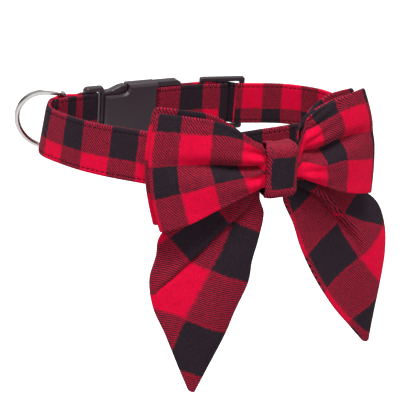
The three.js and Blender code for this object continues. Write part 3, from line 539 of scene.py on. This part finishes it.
def strap_route():
    """Stops of the strap: point, way outward, lean, station and leg.

    Leg 0 lies inside the ring, 1 goes round the neck, 2 comes back inside and 3 is the end in the slider.
    """
    stops = []

    def on_arc(station, outward, leg):
        place = on_loop(station / LOOP_LENGTH)
        stops.append((place.place(0, outward), place.out, place.flare, station, leg))

    def in_frame(base, centre, along, outward, leg):
        stops.append((base.place(along, outward), base.out, base.flare, centre + along, leg))

    def turn(base, centre, along, way, to_out, leg):
        for t in steps(6):
            angle = math.pi * (t if to_out else 1 - t)
            in_frame(
                base, centre, along + way * LAYER_STEP * math.sin(angle), LAYER_STEP * (1 - math.cos(angle)),
                leg if t < 0.5 else leg + 1,
            )

    def bar_end(at, width, way):
        return at + way * (width / 2 - BAR_ROUND)

    for along in SEWN_STOPS:
        on_arc(RING_S + along, 0, 0)
    in_frame(BUCKLE, BUCKLE_S, MALE_BAR_AT + MALE_BAR / 2, 0, 0)
    turn(BUCKLE, BUCKLE_S, bar_end(MALE_BAR_AT, MALE_BAR, -1), -1, True, 0)
    in_frame(BUCKLE, BUCKLE_S, MALE_BAR_AT + MALE_BAR / 2, 2 * LAYER_STEP, 1)
    for along, outward in POCKET_STOPS:
        on_arc(RING_S + along, outward, 1)
    start = RING_S + 26
    end = LOOP_LENGTH + SLIDER_S - (SLIDER_LENGTH / 2 + 8)
    free = 44
    for i in range(free + 1):
        on_arc(start + (end - start) * i / free, 0, 1)
    centre = LOOP_LENGTH + SLIDER_S
    for along, outward in SLIDER_STOPS:
        in_frame(SLIDER, centre, along, outward, 1)
    on_arc(centre + SLIDER_LENGTH / 2 + 5, 2 * LAYER_STEP, 1)
    there = LOOP_LENGTH + BUCKLE_S
    in_frame(BUCKLE, there, -HALF_BUCKLE - 2, 2 * LAYER_STEP, 1)
    in_frame(BUCKLE, there, FEMALE_BAR_AT - FEMALE_BAR / 2, 2 * LAYER_STEP, 1)
    turn(BUCKLE, there, bar_end(FEMALE_BAR_AT, FEMALE_BAR, 1), 1, False, 1)
    in_frame(BUCKLE, there, FEMALE_BAR_AT - FEMALE_BAR / 2, 0, 2)
    in_frame(BUCKLE, there, -HALF_BUCKLE - 2, 0, 2)
    on_arc(centre + SLIDER_LENGTH / 2 + 5, 0, 2)
    in_frame(SLIDER, centre, OUTER_BAR_AT, 0, 2)
    in_frame(SLIDER, centre, CENTRE_BAR_AT + 4, 0, 2)
    turn(SLIDER, centre, bar_end(CENTRE_BAR_AT, SLIDER_BAR, -1), -1, True, 2)
    for along, outward in END_STOPS:
        in_frame(SLIDER, centre, along, outward, 3)
    return stops


STITCH_INSET = 2.2


def strap_section():
    """The band's outline: height, how far out, and a share of the way round for its rims."""
    half, edge = STRAP_THICKNESS / 2, HALF_WIDTH
    heights = []
    z = -edge + 0.5
    while z < edge - 0.49:
        heights.append(z)
        z += 0.5
    face = []
    for h in heights:
        near = edge - abs(h)
        thick = half - 0.42 * math.exp(-near / 0.7)
        thick -= 0.3 * math.exp(-(((near - STITCH_INSET) / 0.35) ** 2))
        face.append((h, thick))
    ring = [(h, -thick) for h, thick in face]
    ring += [(edge - 0.15, -0.62), (edge, -0.3), (edge, 0.3), (edge - 0.15, 0.62)]
    ring += [(h, thick) for h, thick in reversed(face)]
    ring += [(-edge + 0.15, 0.62), (-edge, 0.3), (-edge, -0.3), (-edge + 0.15, -0.62)]
    return ring


def strap_rings(step):
    """Rings along the strap: place, side, way outward, lean, station, leg and distance from its start."""
    stops = strap_route()
    points = [stop[0] for stop in stops]
    rings = []
    last = len(stops) - 1
    travelled = 0.0

    def ring(i, t, distance):
        place = i + t
        here = spline_point(points, False, place)
        a = spline_point(points, False, max(place - 1e-3, 0))
        b = spline_point(points, False, min(place + 1e-3, last))
        along = (b - a).normalized()
        side = Vector((along.y, -along.x, 0))
        nxt = stops[min(i + 1, last)]
        out = stops[i][1].lerp(nxt[1], t).normalized()
        lean = math.tan((stops[i][2] + (nxt[2] - stops[i][2]) * t) * RAD)
        station = stops[i][3] + (nxt[3] - stops[i][3]) * t
        return here, side, out, lean, station, stops[i][4], distance

    for i in range(last):
        length = (points[i + 1] - points[i]).length
        parts = max(2, round(length / step))
        for k in range(parts):
            rings.append(ring(i, k / parts, travelled + length * k / parts))
        travelled += length
    rings.append(ring(last, 0.0, travelled))
    return rings


def ring_point(ring, height, thick):
    here, side, out, lean = ring[:4]
    point = here + side * thick - out * (height * lean)
    return Vector((point.x, point.y, height))


def strap_mark(ring, height, thick):
    """The pattern at a point of the strap: its column, its row and its place across the twill lines; by the
    slider's centre bar the cloth is made black both ways as painted shade.
    """
    station, leg = ring[4], ring[5]
    outer = thick > 0
    slider_centre = LOOP_LENGTH + SLIDER_S + CENTRE_BAR_AT
    if leg == 0:
        column = between(STRAP_POCKET, station)
        row = min(1 + (height - STRAP_ROW) / CHECK_HEIGHT, 1 + ROW_END)
    elif leg == 1:
        wrapped = station if station <= LOOP_LENGTH else station - LOOP_LENGTH
        if outer:
            column = between(STRAP_OUTER, station - 0.07 * height)
            row = min(1 + (height - STRAP_ROW) / CHECK_HEIGHT, 1 + ROW_END)
        else:
            column = between(STRAP_INNER, wrapped)
            row = min((height - STRAP_ROW) / CHECK_HEIGHT, ROW_END)
            # Painted shade: where the inner face climbs over the slider's centre bar, the cloth is made black
            # both ways for the shade it lies in
            if slider_centre - 9.6 < station < slider_centre:
                column, row = 1.5, 1.5
    else:
        column = between(STRAP_FOLD, station - LOOP_LENGTH)
        row = min(1 + (height - STRAP_ROW) / CHECK_HEIGHT, 1 + ROW_END)
        # Painted shade: the strap's turn round the slider's centre bar is made black both ways for the dark,
        # shaded fold there
        if station < slider_centre + 0.6:
            column, row = 1.5, 1.5
    return column, row, (column + row) * STRAP_TWILL


def make_strap(material):
    section = strap_section()
    rings = strap_rings(1.3)
    vertices, marks, faces = [], [], []
    for ring in rings:
        turned = 1 if ring[5] in (1, 3) else -1
        for height, thick in section:
            vertices.append(ring_point(ring, height, thick))
            marks.append(strap_mark(ring, height, thick * turned if ring[5] in (0, 2) else thick))
    count = len(section)
    for i in range(len(rings) - 1):
        for j in range(count):
            k = (j + 1) % count
            faces.append((i * count + j, i * count + k, (i + 1) * count + k, (i + 1) * count + j))
    last = (len(rings) - 1) * count
    faces.append(tuple(reversed(range(count))))
    faces.append(tuple(last + j for j in range(count)))
    return build_mesh("strap_cloth", vertices, faces, marks, material), rings


def stitch_row(rings, height, face, pitch=2.9, length=2.1, radius=0.24):
    """Stitches along the strap at a height, on one face: small rounded bars of thread."""
    vertices, faces = [], []
    distances = [ring[6] for ring in rings]
    total = distances[-1]

    def point(distance):
        i = min(max(bisect.bisect_right(distances, distance) - 1, 0), len(rings) - 2)
        t = (distance - distances[i]) / (distances[i + 1] - distances[i])
        lift = face * (STRAP_THICKNESS / 2 - 0.12)
        near = ring_point(rings[i], height, lift)
        return near.lerp(ring_point(rings[i + 1], height, lift), t), rings[i][1] * face

    at = 3.0
    sides = 5
    while at + length < total - 2:
        base = len(vertices)
        shares = [0.0, 0.12, 0.5, 0.88, 1.0]
        sizes = [0.25, 0.85, 1.0, 0.85, 0.25]
        for share, size in zip(shares, sizes):
            centre, normal = point(at + length * share)
            sunk = normal * (-0.12 * abs(2 * share - 1) ** 2)
            for k in range(sides):
                angle = 2 * math.pi * k / sides
                outward, upward = math.cos(angle) * radius * size, math.sin(angle) * radius * size
                vertices.append(centre + sunk + (normal * outward + Vector((0, 0, upward))))
        for i in range(4):
            for k in range(sides):
                n = (k + 1) % sides
                low, high = base + i * sides, base + (i + 1) * sides
                faces.append((low + k, low + n, high + n, high + k))
        faces.append(tuple(base + k for k in reversed(range(sides))))
        faces.append(tuple(base + 4 * sides + k for k in range(sides)))
        at += pitch
    return vertices, faces


# Materials
class Nodes:
    """Short names for making a material's nodes."""

    def __init__(self, name):
        self.material = bpy.data.materials.new(name)
        self.material.use_nodes = True
        self.tree = self.material.node_tree
        self.tree.nodes.clear()
        self.output = self.tree.nodes.new("ShaderNodeOutputMaterial")
        self.shader = self.tree.nodes.new("ShaderNodeBsdfPrincipled")
        self.tree.links.new(self.shader.outputs[0], self.output.inputs["Surface"])

    def node(self, kind, **settings):
        made = self.tree.nodes.new(kind)
        for key, value in settings.items():
            setattr(made, key, value)
        return made

    def link(self, a, b):
        self.tree.links.new(a, b)

    def math(self, operation, a, b=None):
        made = self.node("ShaderNodeMath", operation=operation)
        for k, value in enumerate((a, b)):
            if value is None:
                continue
            if isinstance(value, (int, float)):
                made.inputs[k].default_value = value
            else:
                self.link(value, made.inputs[k])
        return made.outputs[0]

    def blend(self, factor, a, b):
        made = self.node("ShaderNodeMix", data_type="RGBA")
        for socket, value in ((made.inputs[0], factor), (made.inputs[6], a), (made.inputs[7], b)):
            if isinstance(value, (int, float)):
                socket.default_value = value
            elif isinstance(value, tuple):
                socket.default_value = (*value, 1)
            else:
                self.link(value, socket)
        return made.outputs[2]

    def noise(self, scale, detail=2.0, rough=0.5, vector=None):
        made = self.node("ShaderNodeTexNoise")
        made.inputs["Scale"].default_value = scale
        made.inputs["Detail"].default_value = detail
        made.inputs["Roughness"].default_value = rough
        if vector is not None:
            self.link(vector, made.inputs["Vector"])
        return made.outputs[0]

    def set(self, **values):
        """Sets the shader's own sockets, with _ for a space in their names."""
        for name, value in values.items():
            self.shader.inputs[name.replace("_", " ")].default_value = value

    def between(self, value, low, high):
        made = self.node("ShaderNodeMapRange", interpolation_type="SMOOTHSTEP")
        made.inputs["From Min"].default_value = low
        made.inputs["From Max"].default_value = high
        self.link(value, made.inputs["Value"])
        return made.outputs[0]

    def bump(self, height, strength, distance, under=None):
        made = self.node("ShaderNodeBump")
        made.inputs["Strength"].default_value = strength
        made.inputs["Distance"].default_value = distance
        self.link(height, made.inputs["Height"])
        if under is not None:
            self.link(under, made.inputs["Normal"])
        return made.outputs[0]


RED = (0.690, 0.0038, 0.0400)
BLACK = (0.0235, 0.0150, 0.0215)
TWILL_RED = (0.440, 0.0110, 0.0390)
TWILL_BLACK = (0.032, 0.0135, 0.0200)
TWILL_PITCH = 1.02


def make_flannel(name):
    """Brushed check flannel: red and black stripes both ways, with twill lines where the two colours cross."""
    n = Nodes(name)
    weave = n.node("ShaderNodeAttribute", attribute_name="weave")
    split = n.node("ShaderNodeSeparateXYZ")
    n.link(weave.outputs["Vector"], split.inputs[0])
    place = n.node("ShaderNodeTexCoord").outputs["Object"]
    fuzz = n.noise(1500, 3, 0.65, place)
    drift = n.noise(260, 2, 0.5, place)

    def stripe(value, phase):
        # 0 in a red stripe and 1 in a black one, with edges as uneven as the yarns
        wobble = n.math("MULTIPLY", n.math("SUBTRACT", n.noise(900 + phase, 3, 0.7, place), 0.5), 0.16)
        turned = n.math("MULTIPLY", n.math("SUBTRACT", n.math("ADD", value, wobble), 0.5), math.pi)
        wave = n.math("COSINE", turned)
        inverted = n.math("MULTIPLY", wave, -1.0)
        return n.between(inverted, -0.13, 0.13)

    # cos(pi (x - 1/2)) is above 0 from 0 to 1 and below it from 1 to 2
    across = stripe(split.outputs[0], 0)
    down = stripe(split.outputs[1], 30)
    both = n.math("MULTIPLY", across, down)
    either = n.math("MAXIMUM", across, down)
    mixed = n.math("SUBTRACT", either, both)

    sway = n.math("MULTIPLY", n.math("SUBTRACT", n.noise(330, 2, 0.5, place), 0.5), 0.9)
    line = n.math("SINE", n.math("MULTIPLY", n.math("ADD", split.outputs[2], sway), 2 * math.pi / TWILL_PITCH))
    broken = n.math("ADD", line, n.math("MULTIPLY", n.math("SUBTRACT", fuzz, 0.5), 3.0))
    rib = n.between(broken, -0.45, 0.75)
    twilled = n.blend(rib, TWILL_BLACK, TWILL_RED)
    plain = n.blend(both, RED, BLACK)
    colour = n.blend(mixed, plain, twilled)

    # Loose fibres lighten the black a little and darken the red a little
    fibre = n.between(fuzz, 0.56, 0.75)
    black_fibre = n.math("MULTIPLY", fibre, n.math("MULTIPLY", both, 0.10))
    colour = n.blend(black_fibre, colour, (0.20, 0.10, 0.12))
    shade = n.math("ADD", n.math("MULTIPLY", drift, 0.26), 0.87)
    shade = n.math("ADD", shade, n.math("MULTIPLY", n.math("SUBTRACT", fuzz, 0.5), 0.85))
    tone = n.node("ShaderNodeHueSaturation")
    n.link(shade, tone.inputs["Value"])
    n.link(colour, tone.inputs["Color"])
    n.link(tone.outputs[0], n.shader.inputs["Base Color"])

    n.set(Roughness=0.92, Specular_IOR_Level=0.04)
    n.set(Sheen_Weight=0.05, Sheen_Roughness=0.35, Sheen_Tint=(1.0, 0.55, 0.62, 1))
    ribs = n.math("MULTIPLY", line, 0.5)
    body = n.bump(n.math("ADD", ribs, n.math("MULTIPLY", fuzz, 1.5)), 0.5, 0.00012)
    n.link(n.bump(drift, 0.25, 0.0004, body), n.shader.inputs["Normal"])
    return n.material


def make_thread(name):
    n = Nodes(name)
    place = n.node("ShaderNodeTexCoord").outputs["Object"]
    twist = n.noise(2500, 2, 0.5, place)
    colour = n.blend(n.between(twist, 0.3, 0.7), (0.007, 0.0035, 0.005), (0.017, 0.006, 0.008))
    n.link(colour, n.shader.inputs["Base Color"])
    n.set(Roughness=0.85, Specular_IOR_Level=0.08)
    n.link(n.bump(twist, 0.4, 0.0001), n.shader.inputs["Normal"])
    return n.material


def make_plastic(name):
    """Moulded acetal: dark warm grey with a fine spark-eroded grain and faint rub marks."""
    n = Nodes(name)
    place = n.node("ShaderNodeTexCoord").outputs["Object"]
    cloud = n.noise(60, 3, 0.5, place)
    grain = n.noise(2600, 2, 0.6, place)
    n.link(n.blend(cloud, (0.020, 0.0112, 0.0170), (0.029, 0.0165, 0.0240)), n.shader.inputs["Base Color"])
    rough = n.math("ADD", n.math("MULTIPLY", n.noise(140, 3, 0.6, place), 0.16), 0.30)
    n.link(rough, n.shader.inputs["Roughness"])
    n.set(Specular_IOR_Level=0.32)
    n.link(n.bump(grain, 0.12, 0.00008), n.shader.inputs["Normal"])
    return n.material


def make_nickel(name):
    """Nickel plate on bent steel wire, with fine drawing marks."""
    n = Nodes(name)
    place = n.node("ShaderNodeTexCoord").outputs["Object"]
    cloud = n.noise(90, 3, 0.5, place)
    n.link(n.blend(cloud, (0.27, 0.26, 0.255), (0.38, 0.365, 0.36)), n.shader.inputs["Base Color"])
    n.set(Metallic=1.0)
    rough = n.math("ADD", n.math("MULTIPLY", n.noise(300, 3, 0.6, place), 0.10), 0.10)
    n.link(rough, n.shader.inputs["Roughness"])
    n.link(n.bump(n.noise(700, 2, 0.5, place), 0.05, 0.00005), n.shader.inputs["Normal"])
    return n.material


flannel = make_flannel("check_flannel")
thread = make_thread("sewing_thread")
plastic = make_plastic("moulded_plastic")
nickel = make_nickel("nickel_plate")


RING_WIRE = 3
RING_INNER = 28.7
RING_ARM = 10.1
RING_DIRECTION = 154
# The ring's bar lies on its joint, and at rest the ring reaches out square to it
swing = next(joint for joint in frame["joints"] if joint["name"] == "ring_swing")
RING_PLACE = Vector(swing["pos_m"]) * 1000
RING_BAR = Vector(swing["axis"])
ring_way = Vector((math.cos(RING_DIRECTION * RAD), math.sin(RING_DIRECTION * RAD), 0))
RING_REACH = (ring_way - RING_BAR * ring_way.dot(RING_BAR)).normalized()


def make_ring(material):
    """The D ring's round wire: its straight bar, two small corners and the bow of the D."""
    reach = (RING_INNER + RING_WIRE) / 2
    corner = 2.6
    middle = [(0.0, (reach - corner) * (2 * t - 1)) for t in steps(12)]
    for t in steps(6)[1:]:
        angle = math.pi - t * math.pi / 2
        middle.append((corner + corner * math.cos(angle), reach - corner + corner * math.sin(angle)))
    for t in steps(64):
        angle = math.pi / 2 - t * math.pi
        middle.append((RING_ARM + reach * math.cos(angle), reach * math.sin(angle)))
    for t in steps(6)[:-1]:
        angle = -math.pi / 2 - t * math.pi / 2
        middle.append((corner + corner * math.cos(angle), -reach + corner + corner * math.sin(angle)))
    flat = RING_REACH.cross(RING_BAR)
    sides = 24
    vertices, faces = [], []
    for i, (x, y) in enumerate(middle):
        ahead, behind = middle[(i + 1) % len(middle)], middle[i - 1]
        along = (RING_REACH * (ahead[0] - behind[0]) + RING_BAR * (ahead[1] - behind[1])).normalized()
        side = flat.cross(along)
        centre = RING_PLACE + RING_REACH * x + RING_BAR * y
        for k in range(sides):
            angle = 2 * math.pi * k / sides
            vertices.append(centre + (side * math.cos(angle) + flat * math.sin(angle)) * (RING_WIRE / 2))
    count = len(middle)
    for i in range(count):
        n = (i + 1) % count
        for k in range(sides):
            m = (k + 1) % sides
            faces.append((i * sides + k, i * sides + m, n * sides + m, n * sides + k))
    return build_mesh("ring_wire", vertices, faces, None, material)


# Bow pieces
def row_value(rows, share, t):
    row = read_rows(rows, share)
    edges = [(-0.2, 1.0), (row["first"], 2.0), (row["second"], 3.0), (row["third"], 4.0), (1.02, 5.0)]
    return between(edges, t)


def arm_mark(way, front_loop, share, t, layer):
    if way < 0:
        skew = 0.32 * max(0.0, t - 0.5) * (1 - share)
    else:
        skew = 0.13 * (1 - share) * (1 - smooth(0.0, 0.35, t)) - 0.09 * (t - 0.5) * (1.4 - share)
    columns = RIGHT_COLUMNS if way > 0 else (LEFT_COLUMNS if front_loop else LEFT_BACK_COLUMNS)
    column = between(columns, share + skew)
    if layer > 0:
        column = 2 * columns[-1][1] - column + 0.3 * way * layer
    row = row_value(LEFT_ROWS if way < 0 else RIGHT_ROWS, share, t)
    return column, row, (column - row) * BOW_TWILL


# A lobe's rounded end: the places between its layers and how far it swells
FOLD_LAYERS = (0.08, 0.2, 0.35, 0.5, 0.65, 0.8, 0.92)
FOLD_REACH = 1.3


def make_bow_loop(name, right, left, outs, arm_steps, height_steps):
    """One hoop of cloth: out along the right arm's front layer, back along its rear one, then the left arm."""
    stations = [(s, 0.0) for s in steps(arm_steps)] + [(1.0, layer) for layer in FOLD_LAYERS]
    stations += [(1 - s, 1.0) for s in steps(arm_steps)]
    across = Vector((math.cos(BOW_TURN * RAD), math.sin(BOW_TURN * RAD), 0))
    points, marks = [], []
    for rows, way, order in ((right, 1, stations), (left, -1, reversed(stations))):
        for share, layer in order:
            column = [arm_point(rows, way, outs, share, t, layer) for t in steps(height_steps)]
            if 0 < layer < 1:
                reach = FOLD_REACH * math.sin(math.pi * layer) * way
                column = [point + across * reach for point in column]
            points.append(column)
            marks.append([arm_mark(way, outs is FRONT_OUT, share, t, layer) for t in steps(height_steps)])
    return sheet_mesh(name, Grid(points, marks, hoop=True), CLOTH, flannel)


# Where a tail's crease lies across it, by the share of its length
LEFT_CREASE = [
    (0.0, 0.80), (0.19, 0.65), (0.27, 0.60), (0.37, 0.52),
    (0.47, 0.375), (0.55, 0.25), (0.62, 0.02), (1.0, 0.02),
]
RIGHT_CREASE = [
    (0.0, 0.45), (0.19, 0.40), (0.24, 0.40), (0.33, 0.51),
    (0.44, 0.49), (0.52, 0.44), (0.6, 0.41), (1.0, 0.41),
]
LEFT_UPPER = ((-1.121, 0.0305, -0.0458, 0.0), (-0.280, -0.0273, -0.0229, 0.0))
LEFT_LOWER = ((1.165, 0.0317, -0.0149, 0.0), (-0.283, -0.0146, -0.0331, 0.0))
RIGHT_LOWER = ((0.964, 0.0430, 0.0141, 0.000188), (0.683, 0.0244, -0.0342, 0.000092))
RIGHT_UPPER = ((4.770, 0.0095, 0.0828, -0.000458), (0.712, 0.0265, -0.0360, 0.000141))


def check_place(terms, x, y):
    return [start + along * x + up * y + twist * x * y for start, along, up, twist in terms]


def tail_mark(left, x, y, upper):
    if left:
        column, row = check_place(LEFT_UPPER if upper else LEFT_LOWER, x, y)
        if upper:
            column = min(column, -0.05)
        return column, row, 0.3 * x + 0.95 * y
    column, row = check_place(RIGHT_LOWER, x, y)
    if upper > 0:
        high_column, high_row = check_place(RIGHT_UPPER, x, y)
        column, row = column + (high_column - column) * upper, row + (high_row - row) * upper
    return column, row, 0.7 * x + 0.7 * y


def make_tail(name, rows, left, long_steps, wide_steps):
    crease = LEFT_CREASE if left else RIGHT_CREASE
    points, marks = [], []
    for share in steps(long_steps):
        line = between(crease, share)
        depth = 2.6 * smooth(0.08, 0.25, share) * (1 - smooth(0.42, 0.66, share))
        row_points, row_marks = [], []
        row = read_rows(rows, share)
        half = wide_steps // 2
        split = min(max(line, 0.06), 0.94)
        across = [split * k / (half - 1) for k in range(half)]
        rest = wide_steps - half
        across += [split + 0.006 + (0.994 - split) * k / rest for k in range(rest + 1)]
        for k, t in enumerate(across):
            x = (row["aAlong"] + (row["bAlong"] - row["aAlong"]) * t) * TAIL_DROP
            y = (row["aUp"] + (row["bUp"] - row["aUp"]) * t) * TAIL_DROP
            apart = (t - line) * math.hypot(
                (row["bAlong"] - row["aAlong"]) * TAIL_DROP, (row["bUp"] - row["aUp"]) * TAIL_DROP
            )
            fold = row["cup"] * math.sin(2 * math.pi * t)
            fold += depth * (0.7 * math.exp(-(((apart + 3.2) / 3.4) ** 2)) - math.exp(-((apart / 2.1) ** 2)))
            out = TAIL_OUT + row["aOut"] + (row["bOut"] - row["aOut"]) * t + fold
            row_points.append(bow_point(KNOT_SHIFT + x, y, out, TAIL_CURVE))
            if left:
                upper = 1 if k < half and share < 0.62 else 0
            else:
                upper = (1 - smooth(0.46, 0.60, share)) if k < half else 0
            row_marks.append(tail_mark(left, x, y, upper))
        points.append(row_points)
        marks.append(row_marks)
    return sheet_mesh(name, Grid(points, marks), TAIL_CLOTH, flannel)


# The knot's front: how far it swells, widens and sits to the left, and the place of its checks
KNOT_SIDE = 2.0
KNOT_WIDEN = 2.9
KNOT_FLARE = 0.7
KNOT_LEAN = 0.9
KNOT_CHECK = 17.0
KNOT_STRIPE = (-7.0, 4.6)


def make_knot():
    """The knot: a band round all the layers, drawn in round its middle, with its two sides turned back."""
    half_up = (KNOT_HEIGHT - KNOT_CLOTH) / 2
    half_out = (KNOT_FRONT - KNOT_BACK) / 2
    middle_out = (KNOT_FRONT + KNOT_BACK) / 2
    corner = 3.2
    path = []

    def arc(out, up, start):
        for t in steps(8):
            angle = start + t * math.pi / 2
            path.append((out + corner * math.cos(angle), up + corner * math.sin(angle)))

    def straight(a, b, parts):
        for k in range(1, parts):
            path.append((a[0] + (b[0] - a[0]) * k / parts, a[1] + (b[1] - a[1]) * k / parts))

    arc(half_out - corner, half_up - corner, 0)
    straight(path[-1], (-half_out + corner, half_up), 6)
    arc(-half_out + corner, half_up - corner, math.pi / 2)
    straight(path[-1], (-half_out, -half_up + corner), 20)
    arc(-half_out + corner, -half_up + corner, math.pi)
    straight(path[-1], (half_out - corner, -half_up), 6)
    arc(half_out - corner, -half_up + corner, 1.5 * math.pi)
    straight(path[-1], (half_out, half_up - corner), 20)
    points, marks = [], []
    round_path = 0.0
    last = path[0]
    for out, up in path:
        round_path -= math.hypot(out - last[0], up - last[1])
        last = (out, up)
        row_points, row_marks = [], []
        for t in steps(40):
            front = smooth(-half_out * 0.2, half_out, out)
            width = KNOT_WIDTH + (KNOT_WIDEN + KNOT_FLARE * smooth(4, half_up, abs(up))) * front
            x = (t - 0.5) * width - KNOT_LEAN * front
            turned = abs(2 * t - 1) ** 4
            crown = (0.3 + KNOT_SIDE * (1 - turned)) * front
            crease = -0.45 * math.exp(-(((t - 0.27 - 0.006 * up) / 0.035) ** 2)) * smooth(-2, 9, up)
            crease -= 0.40 * math.exp(-(((t - 0.62 + 0.008 * up) / 0.04) ** 2)) * smooth(2, -9, up)
            crease -= 0.35 * math.exp(-(((t - 0.80) / 0.03) ** 2))
            drawn = 1 - 0.05 * math.sin(math.pi * t)
            row_points.append(bow_point(
                KNOT_SHIFT + x, KNOT_UP + up * drawn - 0.9 * turned * front * (1 if up > 0 else -1),
                middle_out + out + crown + crease * front, FLAT_CURVE,
            ))
            row = 1.5 - (up - 0.3) / KNOT_CHECK if out > 0 else 3.1 - (up - 0.3) / KNOT_CHECK
            if KNOT_STRIPE[0] < x < KNOT_STRIPE[1]:
                row_marks.append((1.5, row, x * 1.1 - round_path * 0.55))
            else:
                row_marks.append((1.5, 2.5, x * 1.1 - round_path * 0.55))
        points.append(row_points)
        marks.append(row_marks)
    return sheet_mesh("knot_cloth", Grid(points, marks, hoop=True), KNOT_CLOTH, flannel)


def make_tab():
    """The sewn tab between the knot and the strap: a folded strip of the same cloth."""
    points, marks = [], []
    for share in steps(20):
        up = KNOT_UP + (share - 0.5) * (TAB_HEIGHT - TAB_DEPTH)
        row_points, row_marks = [], []
        for t in steps(14):
            x = KNOT_SHIFT + (t - 0.5) * (TAB_WIDTH - TAB_DEPTH)
            puff = -0.12 * math.cos(2 * math.pi * t)
            out = KNOT_BACK_FACE - GAP - TAB_DEPTH / 2 + puff * 0.3
            row_points.append(bow_point(x, up, out, FLAT_CURVE))
            row_marks.append((x / TAB_CHECK, up / TAB_CHECK, (x + up) * 0.7))
        points.append(row_points)
        marks.append(row_marks)
    return sheet_mesh("bow_tab_cloth", Grid(points, marks), TAB_DEPTH * 0.94, flannel)


strap, strap_line = make_strap(flannel)
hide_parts("strap")
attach(strap, "collar")

threads, thread_faces = [], []
for level in (-1, 1):
    for face in (-1, 1):
        more, more_faces = stitch_row(strap_line, level * (HALF_WIDTH - STITCH_INSET), face)
        thread_faces += [tuple(k + len(threads) for k in f) for f in more_faces]
        threads += more
stitches = build_mesh("strap_stitches", threads, thread_faces, None, thread)
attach(stitches, "collar")

front_loop = make_bow_loop("bow_front_cloth", FRONT_RIGHT, FRONT_LEFT, FRONT_OUT, 64, 72)
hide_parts("bow_front_loop")
back_loop = make_bow_loop("bow_back_cloth", BACK_RIGHT, BACK_LEFT, BACK_OUT, 40, 48)
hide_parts("bow_back_loop")
tail_left = make_tail("tail_left_cloth", LEFT_TAIL, True, 150, 84)
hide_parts("tail_left")
tail_right = make_tail("tail_right_cloth", RIGHT_TAIL, False, 150, 84)
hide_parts("tail_right")
knot = make_knot()
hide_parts("knot_wrap")
tab = make_tab()
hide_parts("bow_tab")
for piece in (front_loop, back_loop, tail_left, tail_right, knot, tab):
    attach(piece, "collar")

for name in ("slider", "buckle_prongs", "buckle_housing"):
    node = bpy.data.objects[name]
    node.data.materials.clear()
    node.data.materials.append(plastic)
ring = make_ring(nickel)
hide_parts("d_ring")
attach(ring, "ring")

# Floor, light and camera
floor_material = Nodes("pale_floor")
floor_material.set(Base_Color=(0.93, 0.93, 0.93, 1), Roughness=0.9)
floor_material.set(Emission_Color=(1, 1, 1, 1), Emission_Strength=0.5)
floor_mesh = bpy.data.meshes.new("floor")
FLOOR = -0.24
FLOOR_REACH = 60
corners = [(x * FLOOR_REACH, y * FLOOR_REACH, FLOOR) for x, y in ((-1, -1), (1, -1), (1, 1), (-1, 1))]
floor_mesh.from_pydata(corners, [], [(0, 1, 2, 3)])
floor_mesh.materials.append(floor_material.material)
floor = bpy.data.objects.new("floor", floor_mesh)
bpy.context.scene.collection.objects.link(floor)
floor.visible_diffuse = False

bpy.context.scene.view_settings.view_transform = "Standard"
world = bpy.data.worlds.new("studio")
world.use_nodes = True
sky = world.node_tree
sky_place = sky.nodes.new("ShaderNodeTexCoord")
sky_height = sky.nodes.new("ShaderNodeSeparateXYZ")
sky_span = sky.nodes.new("ShaderNodeMapRange")
sky_span.inputs["From Min"].default_value = -1
sky_ramp = sky.nodes.new("ShaderNodeValToRGB")
# Light at the horizon and overhead, a dark band between for the metal to mirror, and a little from below
SKY = (
    (0.0, 0.50), (0.45, 0.50), (0.49, 1.0), (0.54, 1.0), (0.57, 0.03),
    (0.64, 0.03), (0.72, 0.45), (0.80, 1.0), (1.0, 1.1),
)
for place, level in SKY:
    stop = sky_ramp.color_ramp.elements.new(place)
    stop.color = (level, level, level, 1)
sky.links.new(sky_place.outputs["Generated"], sky_height.inputs[0])
sky.links.new(sky_height.outputs[2], sky_span.inputs["Value"])
sky.links.new(sky_span.outputs[0], sky_ramp.inputs[0])
sky.links.new(sky_ramp.outputs[0], sky.nodes["Background"].inputs["Strength"])
sky.nodes["Background"].inputs["Color"].default_value = (1, 1, 1, 1)
bpy.context.scene.world = world


def area_light(name, place, size, power, target=(0, -0.03, -0.02)):
    light = bpy.data.lights.new(name, "AREA")
    light.shape = "DISK"
    light.size = size
    light.energy = power
    made = bpy.data.objects.new(name, light)
    made.location = place
    made.rotation_euler = (Vector(target) - Vector(place)).to_track_quat("-Z", "Y").to_euler()
    bpy.context.scene.collection.objects.link(made)
    return made


area_light("key", (-0.22, -0.60, 1.0), 0.38, 11.0)
area_light("fill", (-0.9, -0.8, 0.25), 0.7, 2)
area_light("top", (0.15, 0.45, 0.9), 0.6, 5)

# The camera, as fitted to the photograph: its lens in millimetres, its place in metres and its two directions
LENS = 73.56
CAMERA_AT = (-0.2108, -0.3841, 0.1178)
CAMERA_RIGHT = (0.8825, -0.4692, 0.0332)
CAMERA_FORWARD = (0.4504, 0.8223, -0.348)
camera_data = bpy.data.cameras.new("camera")
camera_data.lens = LENS
camera_data.sensor_width = 36
camera = bpy.data.objects.new("camera", camera_data)
right = Vector(CAMERA_RIGHT).normalized()
forward = Vector(CAMERA_FORWARD).normalized()
up = right.cross(forward).normalized()
right = forward.cross(up)
camera.matrix_world = Matrix((
    (right.x, up.x, -forward.x, CAMERA_AT[0]),
    (right.y, up.y, -forward.y, CAMERA_AT[1]),
    (right.z, up.z, -forward.z, CAMERA_AT[2]),
    (0, 0, 0, 1),
))
bpy.context.scene.collection.objects.link(camera)
bpy.context.scene.camera = camera
